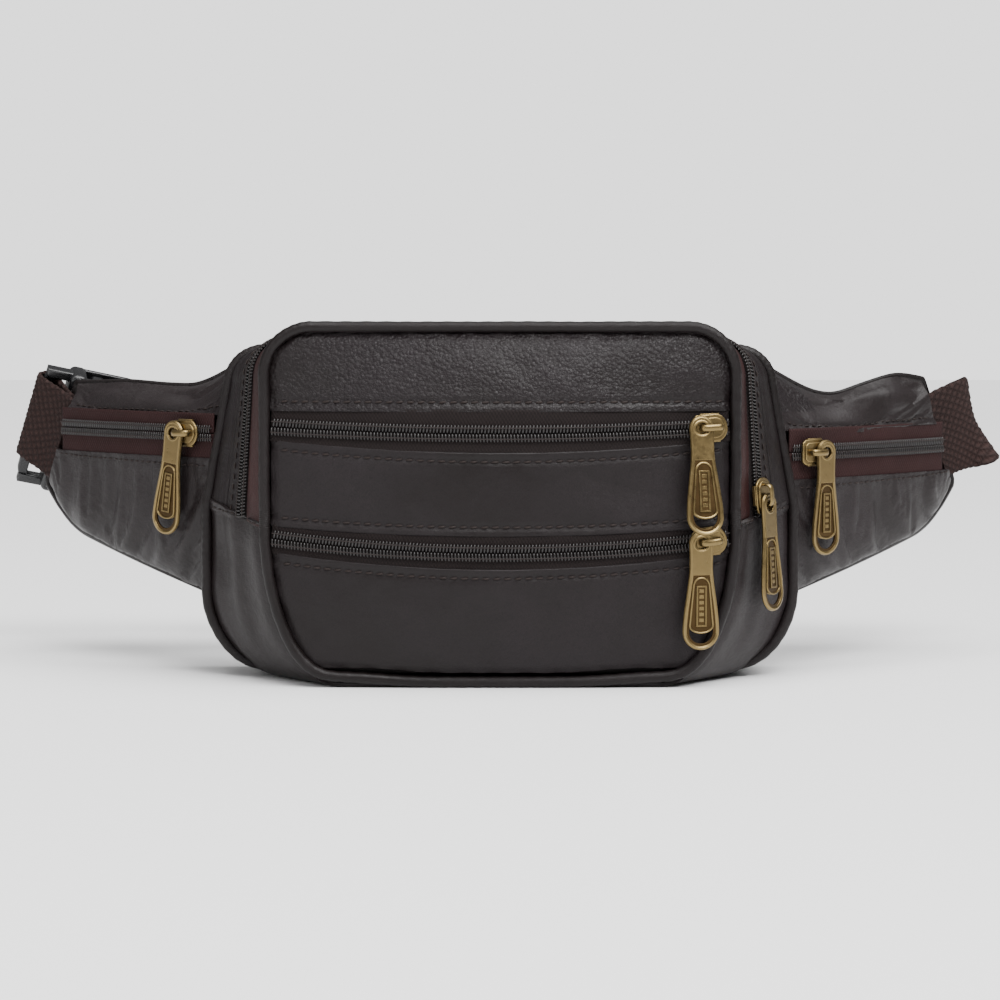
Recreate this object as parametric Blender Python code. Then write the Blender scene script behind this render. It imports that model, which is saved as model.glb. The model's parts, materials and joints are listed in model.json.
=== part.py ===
"""Leather waist pack with two front pockets, a main compartment, two wing pockets and a belt.

All sizes below are millimetres, and are turned into metres where a mesh is made.
+X is the pack's left-to-right as seen from the front, -Y is the front, +Z is up.
The origin is the middle of the flat underside between the front piping and the ridge.
"""
import math

import bpy
import bmesh
from mathutils import Matrix, Vector

MM = 0.001

# Depths (Y) of the sewn seams, front to back
Y_FRONT = -16.0          # front piping
Y_RIDGE = 16.0           # ridge piping
Y_BACK = 46.0            # outer face of the back panel
FRONT_BULGE = 12.3       # how far the front wall swells in front of its piping

# Thicknesses and gaps
LEATHER = 1.6
LINING = 0.5
PADDING = 3.0
TAPE = 0.7
GAP = 0.35
PIPING_R = 2.15
SEAM = 2.7               # skins stop this far from a piping's centre line

# Rims of the body, half outlines in XZ: top, corner, side and bottom
FRONT_RIM = dict(top_x=70.5, top_z=136.0, corner=(88.5, 118.0), waist=(88.5, 67.0),
                 low=(88.5, 60.0), bottom_x=58.5, bottom_z=0.0)
RIDGE_RIM = dict(top_x=90.0, top_z=127.0, corner=(104.5, 114.0), waist=(113.5, 66.0),
                 low=(113.5, 35.0), bottom_x=82.0, bottom_z=0.0)
RIM_END = 5.0            # rim parameter: 0 top middle, 1-2 corner, 2-3 and 3-4 sides, 5 end
PIPING_LOW = 2.4         # lowest centre line height of a piping

# Front zips: height of the chain in the middle and at the sides, and the lips around it
ZIP_UPPER = dict(mid=96.5, side=98.8, lip_top=(104.6, 104.6), lip_low=(89.6, 94.4), slope=3.5)
ZIP_LOWER = dict(mid=52.0, side=57.0, lip_top=(58.0, 61.2), lip_low=(46.0, 52.0), slope=-1.3)
FRONT_SLIDER_X = 78.0
CHAIN_W = 6.0
CHAIN_OUT = 1.0          # how far the coil stands proud of its tape

# Main zip, as a share of the way from the front rim to the ridge
MAIN_CHAIN = 0.40
MAIN_CHAIN_HALF = 0.085
MAIN_TAPE_REAR = 0.66
MAIN_SLIDER_Z = 72.0

# Wings
WING_ARC_CENTRE = (-145.9, 361.7)
WING_ARC_R = 430.0
WING_TIP_TOP = (172.0, 112.5)
WING_TIP_MID = (186.0, 72.0)
WING_TIP_LOW = (182.0, 56.0)
WING_SWEEP_X = 85.0
WING_SWEEP = 0.0055
WING_ZIP = {"left": dict(z=94.5, lips=(85.0, 101.5)), "right": dict(z=87.0, lips=(76.5, 95.5))}
WING_SLIDER_X = 121.0
WING_PULL_LEAN = {"left": 8.0, "right": 0.0}
WING_SIDES = (("left", -1.0), ("right", 1.0))

# Sliders and pulls
SLIDER_L, SLIDER_W, SLIDER_T = 12.8, 9.6, 1.2
SLIDER_CLEAR = 0.6
SKIRT_LOW = 0.9          # the slider's side skirts end this far above the tape
BRIDGE_H = 3.2
SLIDER_LEG = 0.62        # where the bridge stands, as a share of half the slider
BRIDGE_BAR = 1.1
PULL_L, PULL_BULB, PULL_NECK, PULL_T = 45.0, 14.3, 9.6, 1.9

# Belt
WEB_W, WEB_T = 38.0, 2.2
TAB_RUN = 20.5
BELT_Y, BELT_Z = 125.0, 66.0
BELT_STRAIGHT = (-60.0, 95.0)
LOOP_R = 3.6
TAIL_GAP = 3.1
TAIL_END_X = 34.0
KEEPER_X = -12.0
BELT_BEND = (Vector((197.0, 103.0, 95.5)), Vector((180.0, 117.0, 88.5)))
BELT_BEND_WIDTH = Vector((0.45, 0.36, -0.82))

# Buckle: local axes b along the pull, w across the webbing, m out of the plate
BUCKLE_BAR = Vector((-191.5, 98.5, 98.3))
BUCKLE_B = Vector((0.920, 0.300, -0.2074)).normalized()
BUCKLE_W = Vector((-0.311, 0.340, -0.888)).normalized()
BUCKLE_DROP = 4.0        # the webbing sits at the upper end of the buckle's slots
FEMALE_L, FEMALE_W, FEMALE_T = 38.0, 52.0, 11.0
BODY_START = 9.4
SLOT_HALF = 23.4
CAVITY_HALF = 22.0
PRONG_ROOT = (37.0, 15.8)
MALE_BAR_B = 55.0
BAR_HALF = 1.4
BUCKLE_DEEP = 9.5        # deeper than any part of the buckle, for cutting through it


# ---------------------------------------------------------------- scene helpers

def clear_scene():
    for obj in list(bpy.data.objects):
        bpy.data.objects.remove(obj, do_unlink=True)


def material(name, colour, roughness, metallic=0.0):
    mat = bpy.data.materials.new(name)
    mat.use_nodes = True
    shader = mat.node_tree.nodes["Principled BSDF"]
    shader.inputs["Base Color"].default_value = (*colour, 1.0)
    shader.inputs["Roughness"].default_value = roughness
    shader.inputs["Metallic"].default_value = metallic
    mat.diffuse_color = (*colour, 1.0)
    return mat


def make_materials():
    return {
        "leather": material("leather", (0.042, 0.028, 0.025), 0.38),
        "burgundy": material("burgundy", (0.085, 0.028, 0.028), 0.55),
        "coil": material("coil", (0.012, 0.011, 0.011), 0.4),
        "brass": material("brass", (0.32, 0.20, 0.075), 0.42, 0.9),
        "lining": material("lining", (0.03, 0.028, 0.027), 0.85),
        "webbing": material("webbing", (0.06, 0.022, 0.022), 0.8),
        "plastic": material("plastic", (0.012, 0.012, 0.013), 0.3),
    }


def add_mesh(name, points, faces, mat, origin=(0.0, 0.0, 0.0), smooth_deg=40.0):
    """A named object from points in millimetres, with its own origin."""
    base = Vector(origin)
    mesh = bpy.data.meshes.new(name)
    mesh.from_pydata([tuple((Vector(p) - base) * MM) for p in points], [], faces)
    mesh.validate()
    obj = bpy.data.objects.new(name, mesh)
    obj.location = base * MM
    bpy.context.scene.collection.objects.link(obj)
    mesh.materials.append(mat)
    mesh.shade_smooth()
    mesh.set_sharp_from_angle(angle=math.radians(smooth_deg))
    return obj


def sheet_faces(cols, rows):
    return [(i * rows + j, (i + 1) * rows + j, (i + 1) * rows + j + 1, i * rows + j + 1)
            for i in range(cols - 1) for j in range(rows - 1)]


def shell(name, surface, cols, rows, thickness, mat):
    """A skin: surface(u, t) is its outer face, and Solidify adds the thickness inwards."""
    points = [surface(i / (cols - 1), j / (rows - 1)) for i in range(cols) for j in range(rows)]
    obj = add_mesh(name, points, sheet_faces(cols, rows), mat)
    solid = obj.modifiers.new("thickness", "SOLIDIFY")
    solid.thickness = thickness * MM
    solid.offset = -1.0
    solid.use_even_offset = True
    return obj


def sweep(name, rings, mat, origin=(0.0, 0.0, 0.0)):
    """A closed solid through rings of points that all run the same way round."""
    count = len(rings[0])
    points = [p for ring in rings for p in ring]
    faces = []
    for i in range(len(rings) - 1):
        for j in range(count):
            a, b = i * count + j, i * count + (j + 1) % count
            faces.append((a, b, b + count, a + count))
    faces.append(tuple(reversed(range(count))))
    last = (len(rings) - 1) * count
    faces.append(tuple(range(last, last + count)))
    obj = add_mesh(name, points, faces, mat, origin)
    face_out(obj)
    return obj


def face_out(obj):
    bm = bmesh.new()
    bm.from_mesh(obj.data)
    bmesh.ops.recalc_face_normals(bm, faces=bm.faces)
    bm.to_mesh(obj.data)
    bm.free()


def tube(name, points, radius, closed, mat):
    curve = bpy.data.curves.new(name, "CURVE")
    curve.dimensions = "3D"
    curve.bevel_depth = radius * MM
    curve.bevel_resolution = 2
    curve.use_fill_caps = not closed
    spline = curve.splines.new("POLY")
    spline.points.add(len(points) - 1)
    for knot, point in zip(spline.points, points):
        knot.co = (*(Vector(point) * MM), 1.0)
    spline.use_cyclic_u = closed
    curve.materials.append(mat)
    obj = bpy.data.objects.new(name, curve)
    bpy.context.scene.collection.objects.link(obj)
    return obj


def plate(name, outline, depth, place, mat, origin):
    """A flat piece: an outline in its own XY, from depth[0] to depth[1] along its own Z."""
    rings = [[place @ Vector((x, y, z)) for x, y in outline] for z in depth]
    return sweep(name, rings, mat, origin)


def cut(obj, cutter):
    """Cut one solid with another, which is left out of the build."""
    cutter.hide_render = True
    cutter.display_type = "WIRE"
    tool = obj.modifiers.new("cut", "BOOLEAN")
    tool.operation = "DIFFERENCE"
    tool.solver = "EXACT"
    tool.object = cutter


def join(obj, extra):
    """Fuse one solid with another, which is left out of the build."""
    extra.hide_render = True
    extra.display_type = "WIRE"
    tool = obj.modifiers.new("join", "BOOLEAN")
    tool.operation = "UNION"
    tool.solver = "EXACT"
    tool.object = extra


def block(name, low, high, place, mat, origin=(0.0, 0.0, 0.0)):
    outline = [(low[0], low[1]), (high[0], low[1]), (high[0], high[1]), (low[0], high[1])]
    return plate(name, outline, (low[2], high[2]), place, mat, origin)


def frame_matrix(origin, x_axis, y_axis):
    """A placing matrix, in millimetres, from an origin and two directions."""
    x_axis = Vector(x_axis).normalized()
    z_axis = x_axis.cross(Vector(y_axis)).normalized()
    y_axis = z_axis.cross(x_axis)
    rot = Matrix((x_axis, y_axis, z_axis)).transposed().to_4x4()
    return Matrix.Translation(Vector(origin)) @ rot


# ---------------------------------------------------------------- body shapes

def rim_xz(rim, s):
    """Half outline of a rim, s from 0 at the top middle to 5 at the end of the low corner."""
    top_x, top_z = rim["top_x"], rim["top_z"]
    (cx, cz), (wx, wz), (lx, lz) = rim["corner"], rim["waist"], rim["low"]
    if s <= 1.0:
        return top_x * s, top_z
    if s <= 2.0:
        a = (s - 1.0) * math.pi / 2
        return top_x + (cx - top_x) * math.sin(a), cz + (top_z - cz) * math.cos(a)
    if s <= 3.0:
        return cx + (wx - cx) * (s - 2.0), cz + (wz - cz) * (s - 2.0)
    if s <= 4.0:
        return wx + (lx - wx) * (s - 3.0), wz + (lz - wz) * (s - 3.0)
    a = (s - 4.0) * math.pi / 2
    bottom_x, bottom_z = rim["bottom_x"], rim["bottom_z"]
    return bottom_x + (lx - bottom_x) * math.cos(a), lz - (lz - bottom_z) * math.sin(a)


def rim_point(rim, s, y):
    """Point on a rim; a negative s is on the left, and beyond 5 runs along the bottom."""
    side = -1.0 if s < 0 else 1.0
    reach = abs(s)
    if reach <= RIM_END:
        x, z = rim_xz(rim, reach)
    else:
        x, z = rim["bottom_x"] * (6.0 - reach), rim["bottom_z"]
    return Vector((side * x, y, z))


def inset_rim(rim, d):
    """The same outline, moved in by d."""
    (cx, cz), (wx, wz), (lx, lz) = rim["corner"], rim["waist"], rim["low"]
    return dict(rim, top_z=rim["top_z"] - d, corner=(cx - d, cz), waist=(wx - d, wz),
                low=(lx - d, lz), bottom_z=rim["bottom_z"] + d)


def rim_half_width(rim, z):
    """Half width of a rim at a height."""
    (cx, cz), (wx, wz), (lx, lz) = rim["corner"], rim["waist"], rim["low"]
    if z >= cz:
        drop = min(1.0, (z - cz) / (rim["top_z"] - cz))
        return rim["top_x"] + (cx - rim["top_x"]) * math.sqrt(1.0 - drop * drop)
    if z >= wz:
        return wx + (cx - wx) * (z - wz) / (cz - wz)
    if z >= lz:
        return wx
    drop = min(1.0, (lz - z) / (lz - rim["bottom_z"]))
    return rim["bottom_x"] + (lx - rim["bottom_x"]) * math.sqrt(1.0 - drop * drop)


def front_y(x, z):
    """The swollen front wall."""
    mid = 70.0
    half = FRONT_RIM["top_z"] - mid if z > mid else mid - FRONT_RIM["bottom_z"]
    share = max(0.0, 1.0 - (abs(z - mid) / half) ** 3.5)
    width = max(1.0, rim_half_width(FRONT_RIM, z))
    return Y_FRONT - FRONT_BULGE * share * max(0.0, 1.0 - (x / width) ** 2)


def gusset(s, v, lift=0.0):
    """Ruled surface from the front rim (v=0) to the ridge (v=1), moved in by lift."""
    front = rim_point(inset_rim(FRONT_RIM, lift), s, Y_FRONT)
    ridge = rim_point(inset_rim(RIDGE_RIM, lift), s, Y_RIDGE)
    return front.lerp(ridge, v)


def piping_points(rim, y, s_low, s_high, count):
    points = []
    for i in range(count):
        s = s_low + (s_high - s_low) * i / (count - 1)
        p = rim_point(rim, s, y)
        p.z = max(p.z, PIPING_LOW)
        points.append(p)
    return points


# ---------------------------------------------------------------- zips on arcs

class ZipArc:
    """A zip along a circle, so that its slider turns about the circle's centre.

    across runs over the tape from one lip to the other, out stands off the surface.
    """

    def __init__(self, centre, radius, axis, forward, cone_deg=0.0):
        self.centre = Vector(centre)
        self.radius = radius
        self.axis = Vector(axis).normalized()
        self.forward = Vector(forward).normalized()
        self.side = self.axis.cross(self.forward)
        self.cone = math.radians(cone_deg)

    def radial(self, angle):
        return self.forward * math.cos(angle) + self.side * math.sin(angle)

    def frame(self, angle):
        """Along, across and outward directions at an angle."""
        radial = self.radial(angle)
        along = self.side * math.cos(angle) - self.forward * math.sin(angle)
        across = self.axis * math.cos(self.cone) + radial * math.sin(self.cone)
        outward = radial * math.cos(self.cone) - self.axis * math.sin(self.cone)
        return along, across, outward

    def at(self, angle, across=0.0, out=0.0):
        _, cross, normal = self.frame(angle)
        return self.centre + self.radial(angle) * self.radius + cross * across + normal * out

    def angle_at_x(self, x):
        """Angle where the arc reaches an X; both kinds of arc move along X as they turn."""
        low, high = -1.2, 1.2
        rising = self.at(high).x > self.at(low).x
        for _ in range(50):
            mid = (low + high) / 2
            if (self.at(mid).x < x) == rising:
                low = mid
            else:
                high = mid
        return (low + high) / 2


def front_zip_arc(spec):
    """The chain's circle: it swells with the front wall, and its middle hangs a little."""
    half = FRONT_RIM["corner"][0]
    swell = Y_FRONT - front_y(0.0, spec["mid"])
    sag = spec["side"] - spec["mid"]
    rise = math.hypot(swell, sag)
    radius = (half * half + rise * rise) / (2 * rise)
    tilt = math.atan2(sag, swell)
    forward = Vector((0.0, -math.cos(tilt), -math.sin(tilt)))
    axis = Vector((0.0, -math.sin(tilt), math.cos(tilt)))
    middle = Vector((0.0, Y_FRONT - swell, spec["mid"]))
    cone = -math.degrees(tilt) - spec["slope"]
    return ZipArc(middle - forward * radius, radius, axis, forward, cone)


def wing_zip_arc(side, z):
    centre = (side * WING_ARC_CENTRE[0], WING_ARC_CENTRE[1], z)
    start = math.asin((WING_SLIDER_X - WING_ARC_CENTRE[0]) / WING_ARC_R)
    forward = (side * math.sin(start), -math.cos(start), 0.0)
    return ZipArc(centre, WING_ARC_R, (0.0, 0.0, 1.0), forward)


def arc_strip(name, arc, x_ends, inner, outer, thickness, mat, cols=25):
    """A tape beside the chain: inner and outer give its edges, across, at an angle."""
    start, end = arc.angle_at_x(x_ends[0]), arc.angle_at_x(x_ends[1])
    rings = []
    for i in range(cols):
        angle = start + (end - start) * i / (cols - 1)
        lo, hi = inner(angle), outer(angle)
        rings.append([arc.at(angle, lo, 0.0), arc.at(angle, hi, 0.0),
                      arc.at(angle, hi, -thickness), arc.at(angle, lo, -thickness)])
    return sweep(name, rings, mat)


def arc_chain(name, arc, x_ends, mat, cols=29):
    start, end = arc.angle_at_x(x_ends[0]), arc.angle_at_x(x_ends[1])
    half = CHAIN_W / 2
    rings = []
    for i in range(cols):
        angle = start + (end - start) * i / (cols - 1)
        rings.append([arc.at(angle, -half, -TAPE), arc.at(angle, -half, 0.2),
                      arc.at(angle, -half * 0.5, CHAIN_OUT), arc.at(angle, half * 0.5, CHAIN_OUT),
                      arc.at(angle, half, 0.2), arc.at(angle, half, -TAPE)])
    return sweep(name, rings, mat)


# ---------------------------------------------------------------- sliders and pulls

def slider(name, place, mat):
    """A saddle over the coil with a bridge for the pull; local x along the coil, z outward."""
    origin = place.translation
    base = CHAIN_OUT + SLIDER_CLEAR
    half_l, half_w = SLIDER_L / 2, SLIDER_W / 2
    outline = [(-half_l, -half_w * 0.62), (-half_l * 0.55, -half_w), (half_l * 0.6, -half_w),
               (half_l, -half_w * 0.8), (half_l, half_w * 0.8), (half_l * 0.6, half_w),
               (-half_l * 0.55, half_w), (-half_l, half_w * 0.62)]
    body = plate(name, outline, (base, base + SLIDER_T), place, mat, origin)
    top = base + SLIDER_T
    for i, side in enumerate((-1.0, 1.0)):
        skirt = block(f"{name}_skirt_{i}", (-half_l * 0.5, side * half_w - 0.6, SKIRT_LOW),
                      (half_l * 0.5, side * half_w + 0.6, base + 0.6), place, mat)
        join(body, skirt)
    leg_x = half_l * SLIDER_LEG
    for i, x in enumerate((-leg_x, leg_x)):
        leg = block(f"{name}_leg_{i}", (x - BRIDGE_BAR / 2, -BRIDGE_BAR, base + 0.5),
                    (x + BRIDGE_BAR / 2, BRIDGE_BAR, top + BRIDGE_H), place, mat)
        join(body, leg)
    bar = block(f"{name}_bar", (-leg_x - BRIDGE_BAR / 2, -BRIDGE_BAR, top + BRIDGE_H - 0.4),
                (leg_x + BRIDGE_BAR / 2, BRIDGE_BAR, top + BRIDGE_H + 0.8), place, mat)
    join(body, bar)
    return body


def ellipse(cx, cy, rx, ry, count, start=0.0):
    return [(cx + rx * math.cos(start + math.tau * i / count),
             cy + ry * math.sin(start + math.tau * i / count)) for i in range(count)]


def pull_outline():
    """Teardrop: a small round head round the eye, a neck, and a wide round bulb."""
    head, bulb = PULL_NECK / 2, PULL_BULB / 2
    low = PULL_L - head - bulb
    points = [(head * math.cos(a), head * math.sin(a))
              for a in (math.pi * i / 10 for i in range(11))]
    points += [(-head * 0.92, -low * 0.4), (-bulb * 0.82, -low * 0.78)]
    points += [(bulb * math.cos(a), -low + bulb * math.sin(a))
               for a in (math.pi + math.pi * i / 12 for i in range(13))]
    points += [(bulb * 0.82, -low * 0.78), (head * 0.92, -low * 0.4)]
    return points, low


def pull(name, place, mat):
    """A pull hanging along its own -y from the eye, which rides on a bridge leg."""
    outline, low = pull_outline()
    origin = place.translation
    body = plate(name, outline, (-PULL_T / 2, PULL_T / 2), place, mat, origin)
    eye = plate(f"{name}_eye_cut", ellipse(0.0, 0.0, 2.3, 2.3, 14), (-3.0, 3.0), place, mat, origin)
    hole = plate(f"{name}_hole_cut", ellipse(0.0, -low - 1.6, 3.6, 2.4, 14), (-3.0, 3.0),
                 place, mat, origin)
    cut(body, eye)
    cut(body, hole)
    return body


def pull_place(leg, outward, down, tilt_deg=0.0):
    """Pull frame at a bridge leg: hangs along down, its tip tilt_deg out of the surface."""
    outward = Vector(outward).normalized()
    down = (Vector(down) - outward * Vector(down).dot(outward)).normalized()
    across = down.cross(outward)
    lean = Matrix.Rotation(math.radians(tilt_deg), 3, across)
    if (lean @ down).dot(outward) < 0:
        lean = lean.inverted()
    return frame_matrix(leg, across, -(lean @ down))


# ---------------------------------------------------------------- front wall

def front_patch(name, z_low, z_high, mat, rows, ease=False):
    rim = inset_rim(FRONT_RIM, SEAM + 0.5)

    def surface(u, t):
        share = 1.0 - math.cos(t * math.pi / 2) if ease else t
        x = (2.0 * u - 1.0) * rim["waist"][0]
        z = z_low(x) + (z_high(x) - z_low(x)) * share
        x = (2.0 * u - 1.0) * rim_half_width(rim, z)
        return Vector((x, front_y(x, z), z))

    return shell(name, surface, 21, rows, LEATHER, mat)


def lip(pair):
    """Height of a lip over X from its heights in the middle and at the sides."""
    half = FRONT_RIM["waist"][0]
    return lambda x: pair[0] + (pair[1] - pair[0]) * (x / half) ** 2


def build_front_wall(mats):
    top_z = FRONT_RIM["top_z"] - SEAM
    low_z = PIPING_LOW + SEAM + 1.2
    front_patch("front_panel_top", lip(ZIP_UPPER["lip_top"]), lambda x: top_z, mats["leather"], 7)
    front_patch("front_panel_middle", lip(ZIP_LOWER["lip_top"]), lip(ZIP_UPPER["lip_low"]),
                mats["leather"], 4)
    front_patch("front_panel_bottom", lambda x: low_z, lip(ZIP_LOWER["lip_low"]),
                mats["leather"], 8, ease=True)
    knots = piping_points(FRONT_RIM, Y_FRONT, -6.0, 6.0, 85)[:-1]
    tube("front_piping", knots, PIPING_R, True, mats["leather"])


def build_front_zip(prefix, spec, pull_tilt, mats):
    arc = front_zip_arc(spec)
    reach = FRONT_RIM["waist"][0] - SEAM - 1.0
    half = CHAIN_W / 2 + GAP
    upright = math.cos(math.radians(spec["slope"]))

    def to_lip(pair, gap):
        height = lip(pair)

        def across(angle):
            p = arc.at(angle)
            return (height(p.x) + gap - p.z) / upright
        return across

    arc_strip(f"{prefix}_tape_upper", arc, (-reach, reach), lambda a: half,
              to_lip(spec["lip_top"], -GAP), TAPE, mats["burgundy"])
    arc_strip(f"{prefix}_tape_lower", arc, (-reach, reach), to_lip(spec["lip_low"], GAP),
              lambda a: -half, TAPE, mats["burgundy"])
    arc_chain(f"{prefix}_teeth", arc, (-reach, reach), mats["coil"])
    angle = arc.angle_at_x(FRONT_SLIDER_X)
    along, across, outward = arc.frame(angle)
    slider(f"{prefix}_slider", frame_matrix(arc.at(angle), along, across), mats["brass"])
    leg = arc.at(angle) + outward * (CHAIN_OUT + SLIDER_CLEAR + SLIDER_T + BRIDGE_H * 0.5)
    leg -= along * (SLIDER_L / 2 * SLIDER_LEG)
    pull(f"{prefix}_pull", pull_place(leg, outward, (0.0, 0.0, -1.0), pull_tilt), mats["brass"])


# ---------------------------------------------------------------- gusset and main zip

def gusset_strip(name, s_range, v_range, thickness, mat, cols, rows=2, lift=0.0):
    """A strip of the gusset between two shares of its width."""
    def surface(u, t):
        s = s_range[0] + (s_range[1] - s_range[0]) * u
        return gusset(s, v_range[0] + (v_range[1] - v_range[0]) * t, lift)
    return shell(name, surface, cols, rows, thickness, mat)


def main_zip_frame(z):
    """Point and directions of the main zip's chain on the right side, at a height."""
    low, high = gusset(3.0, MAIN_CHAIN), gusset(2.0, MAIN_CHAIN)
    share = (z - low.z) / (high.z - low.z)
    point = low.lerp(high, share)
    along = (high - low).normalized()
    across = gusset(3.0 - share, 0.0) - gusset(3.0 - share, 1.0)
    across = (across - along * across.dot(along)).normalized()
    return point, along, across, across.cross(along) * -1.0


def build_gusset(mats):
    edge = SEAM / 34.0
    chain = (MAIN_CHAIN - MAIN_CHAIN_HALF, MAIN_CHAIN + MAIN_CHAIN_HALF)
    slit = 0.022
    ends = (-2.97, 2.97)
    gusset_strip("main_zip_tape_front", ends, (edge, chain[0] - slit), TAPE, mats["burgundy"], 37)
    gusset_strip("main_zip_tape_rear", ends, (chain[1] + slit, MAIN_TAPE_REAR - slit), TAPE,
                 mats["burgundy"], 37)
    teeth = gusset_strip("main_zip_teeth", ends, chain, TAPE, mats["coil"], 37, lift=-CHAIN_OUT)
    teeth.modifiers["thickness"].thickness = (TAPE + CHAIN_OUT) * MM
    gusset_strip("gusset_rear_strip", ends, (MAIN_TAPE_REAR, 1.0 - edge), LEATHER,
                 mats["leather"], 37)
    build_lower_gusset(mats)
    top = piping_points(RIDGE_RIM, Y_RIDGE, -4.75, 4.75, 58)
    tube("ridge_piping", top, PIPING_R, False, mats["leather"])


def build_lower_gusset(mats):
    """From one end of the main zip, under the body, to the other end."""
    edge = SEAM / 34.0

    def surface(u, t):
        s = 3.03 + 5.94 * u
        s = s if s <= 6.0 else s - 12.0
        return gusset(s, edge + (1.0 - 2.0 * edge) * t)

    shell("lower_gusset", surface, 37, 3, LEATHER, mats["leather"])


def body_ring(name, s_range, y_range, thickness, mat, cols, under=False):
    """A strip of the body behind the ridge, over the top or (under) round the bottom."""
    def surface(u, t):
        s = s_range[0] + (s_range[1] - s_range[0]) * u
        if under:
            s = s if s <= 6.0 else s - 12.0
        return rim_point(RIDGE_RIM, s, y_range[0] + (y_range[1] - y_range[0]) * t)
    return shell(name, surface, cols, 2, thickness, mat)


def build_rear_body(mats):
    ys = (Y_RIDGE + SEAM, Y_BACK - PADDING - GAP)
    body_ring("top_strip", (-1.97, 1.97), ys, LEATHER, mats["leather"], 31)
    body_ring("base_strip", (4.03, 7.97), ys, LEATHER, mats["leather"], 31, under=True)
    for side, sign in WING_SIDES:
        s_range = (2.03, 3.97) if sign > 0 else (-3.97, -2.03)
        body_ring(f"side_wall_{side}", s_range, ys, 0.8, mats["lining"], 7)


# ---------------------------------------------------------------- back panel and wings

def back_y(x):
    """Outer face of the back panel, swept back along the wings."""
    return Y_BACK + WING_SWEEP * max(0.0, abs(x) - WING_SWEEP_X) ** 2


def smooth(x, low, high):
    t = min(1.0, max(0.0, (x - low) / (high - low)))
    return t * t * (3.0 - 2.0 * t)


def top_z(x):
    """Upper edge of the back panel and the wings."""
    body, wing = RIDGE_RIM["top_z"], 112.0
    return body + (wing - body) * smooth(abs(x), 86.0, 124.0)


def bottom_z(x):
    """Lower edge: flat under the body, up round its corner, then rising along the wing."""
    x = abs(x)
    if x <= RIDGE_RIM["bottom_x"]:
        return 0.0
    lx, lz = RIDGE_RIM["low"]
    wing = 30.0 + 0.385 * (x - lx)
    if x >= lx:
        return wing
    share = (x - RIDGE_RIM["bottom_x"]) / (lx - RIDGE_RIM["bottom_x"])
    return min(wing, lz * (1.0 - math.sqrt(1.0 - share * share)))


def tip_x(z):
    """Slanted end of a wing, with a rounded lower corner."""
    (tx, tz), (mx, mz), (lx, lz) = WING_TIP_TOP, WING_TIP_MID, WING_TIP_LOW
    if z >= mz:
        return mx + (tx - mx) * (z - mz) / (tz - mz)
    return mx - (mx - lx) * min(1.0, (mz - z) / (mz - lz)) ** 2


def wing_front_y(x, z):
    """Front skin of a wing: a plan arc, drawn in to the back panel at top and bottom."""
    arc_y = WING_ARC_CENTRE[1] - math.sqrt(WING_ARC_R ** 2 - (abs(x) - WING_ARC_CENTRE[0]) ** 2)
    inner = back_y(x) - PADDING - GAP - LEATHER - 0.5
    height = (z - bottom_z(x)) / (top_z(x) - bottom_z(x))
    section = math.sqrt(max(0.0, 1.0 - abs(2.0 * height - 1.0) ** 4))
    return inner - max(2.0, inner - arc_y) * section


def wing_x(u, z, root_gap=SEAM):
    root = rim_half_width(RIDGE_RIM, z) + root_gap
    return root + (tip_x(z) - root) * u


def wing_patch(name, sign, z_low, z_high, mat, rows, thickness=LEATHER, lift=0.0):
    """Part of a wing's front skin between two edges, each a function of x."""
    def surface(u, t):
        u = u if sign > 0 else 1.0 - u
        x, z = 140.0, 80.0
        for _ in range(6):
            z = z_low(x) + (z_high(x) - z_low(x)) * t
            x = wing_x(u, z)
        return Vector((sign * x, wing_front_y(x, z) + lift, z))
    return shell(name, surface, 13, rows, thickness, mat)


def build_wing(side, sign, mats):
    spec = WING_ZIP[side]
    low_lip, high_lip = spec["lips"]
    wing_patch(f"wing_{side}_panel_upper", sign, lambda x: high_lip, lambda x: top_z(x) - 0.2,
               mats["leather"], 6)
    wing_patch(f"wing_{side}_panel_lower", sign, lambda x: bottom_z(x) + 0.2, lambda x: low_lip,
               mats["leather"], 8)
    arc = wing_zip_arc(sign, spec["z"])
    root = wing_x(0.0, spec["z"], SEAM + 1.0)
    ends = (sign * root, sign * (tip_x(spec["z"]) - 2.0))
    if sign < 0:
        ends = (ends[1], ends[0])
    half = CHAIN_W / 2 + GAP
    arc_strip(f"wing_{side}_tape_upper", arc, ends, lambda a: half,
              lambda a: high_lip - GAP - spec["z"], TAPE, mats["burgundy"], 13)
    arc_strip(f"wing_{side}_tape_lower", arc, ends, lambda a: low_lip + GAP - spec["z"],
              lambda a: -half, TAPE, mats["burgundy"], 13)
    arc_chain(f"wing_{side}_teeth", arc, ends, mats["coil"], 13)
    along, across, outward = arc.frame(0.0)
    slider(f"wing_{side}_slider", frame_matrix(arc.at(0.0), along, across), mats["brass"])
    leg = arc.at(0.0) + outward * (CHAIN_OUT + SLIDER_CLEAR + SLIDER_T + BRIDGE_H * 0.5)
    leg += along * (sign * SLIDER_L / 2 * SLIDER_LEG)
    lean = math.radians(WING_PULL_LEAN[side])
    down = Vector((0.0, 0.0, -math.cos(lean))) - along * math.sin(lean)
    pull(f"wing_{side}_pull", pull_place(leg, outward, down), mats["brass"])
    build_wing_lining(side, sign, low_lip, mats)


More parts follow.
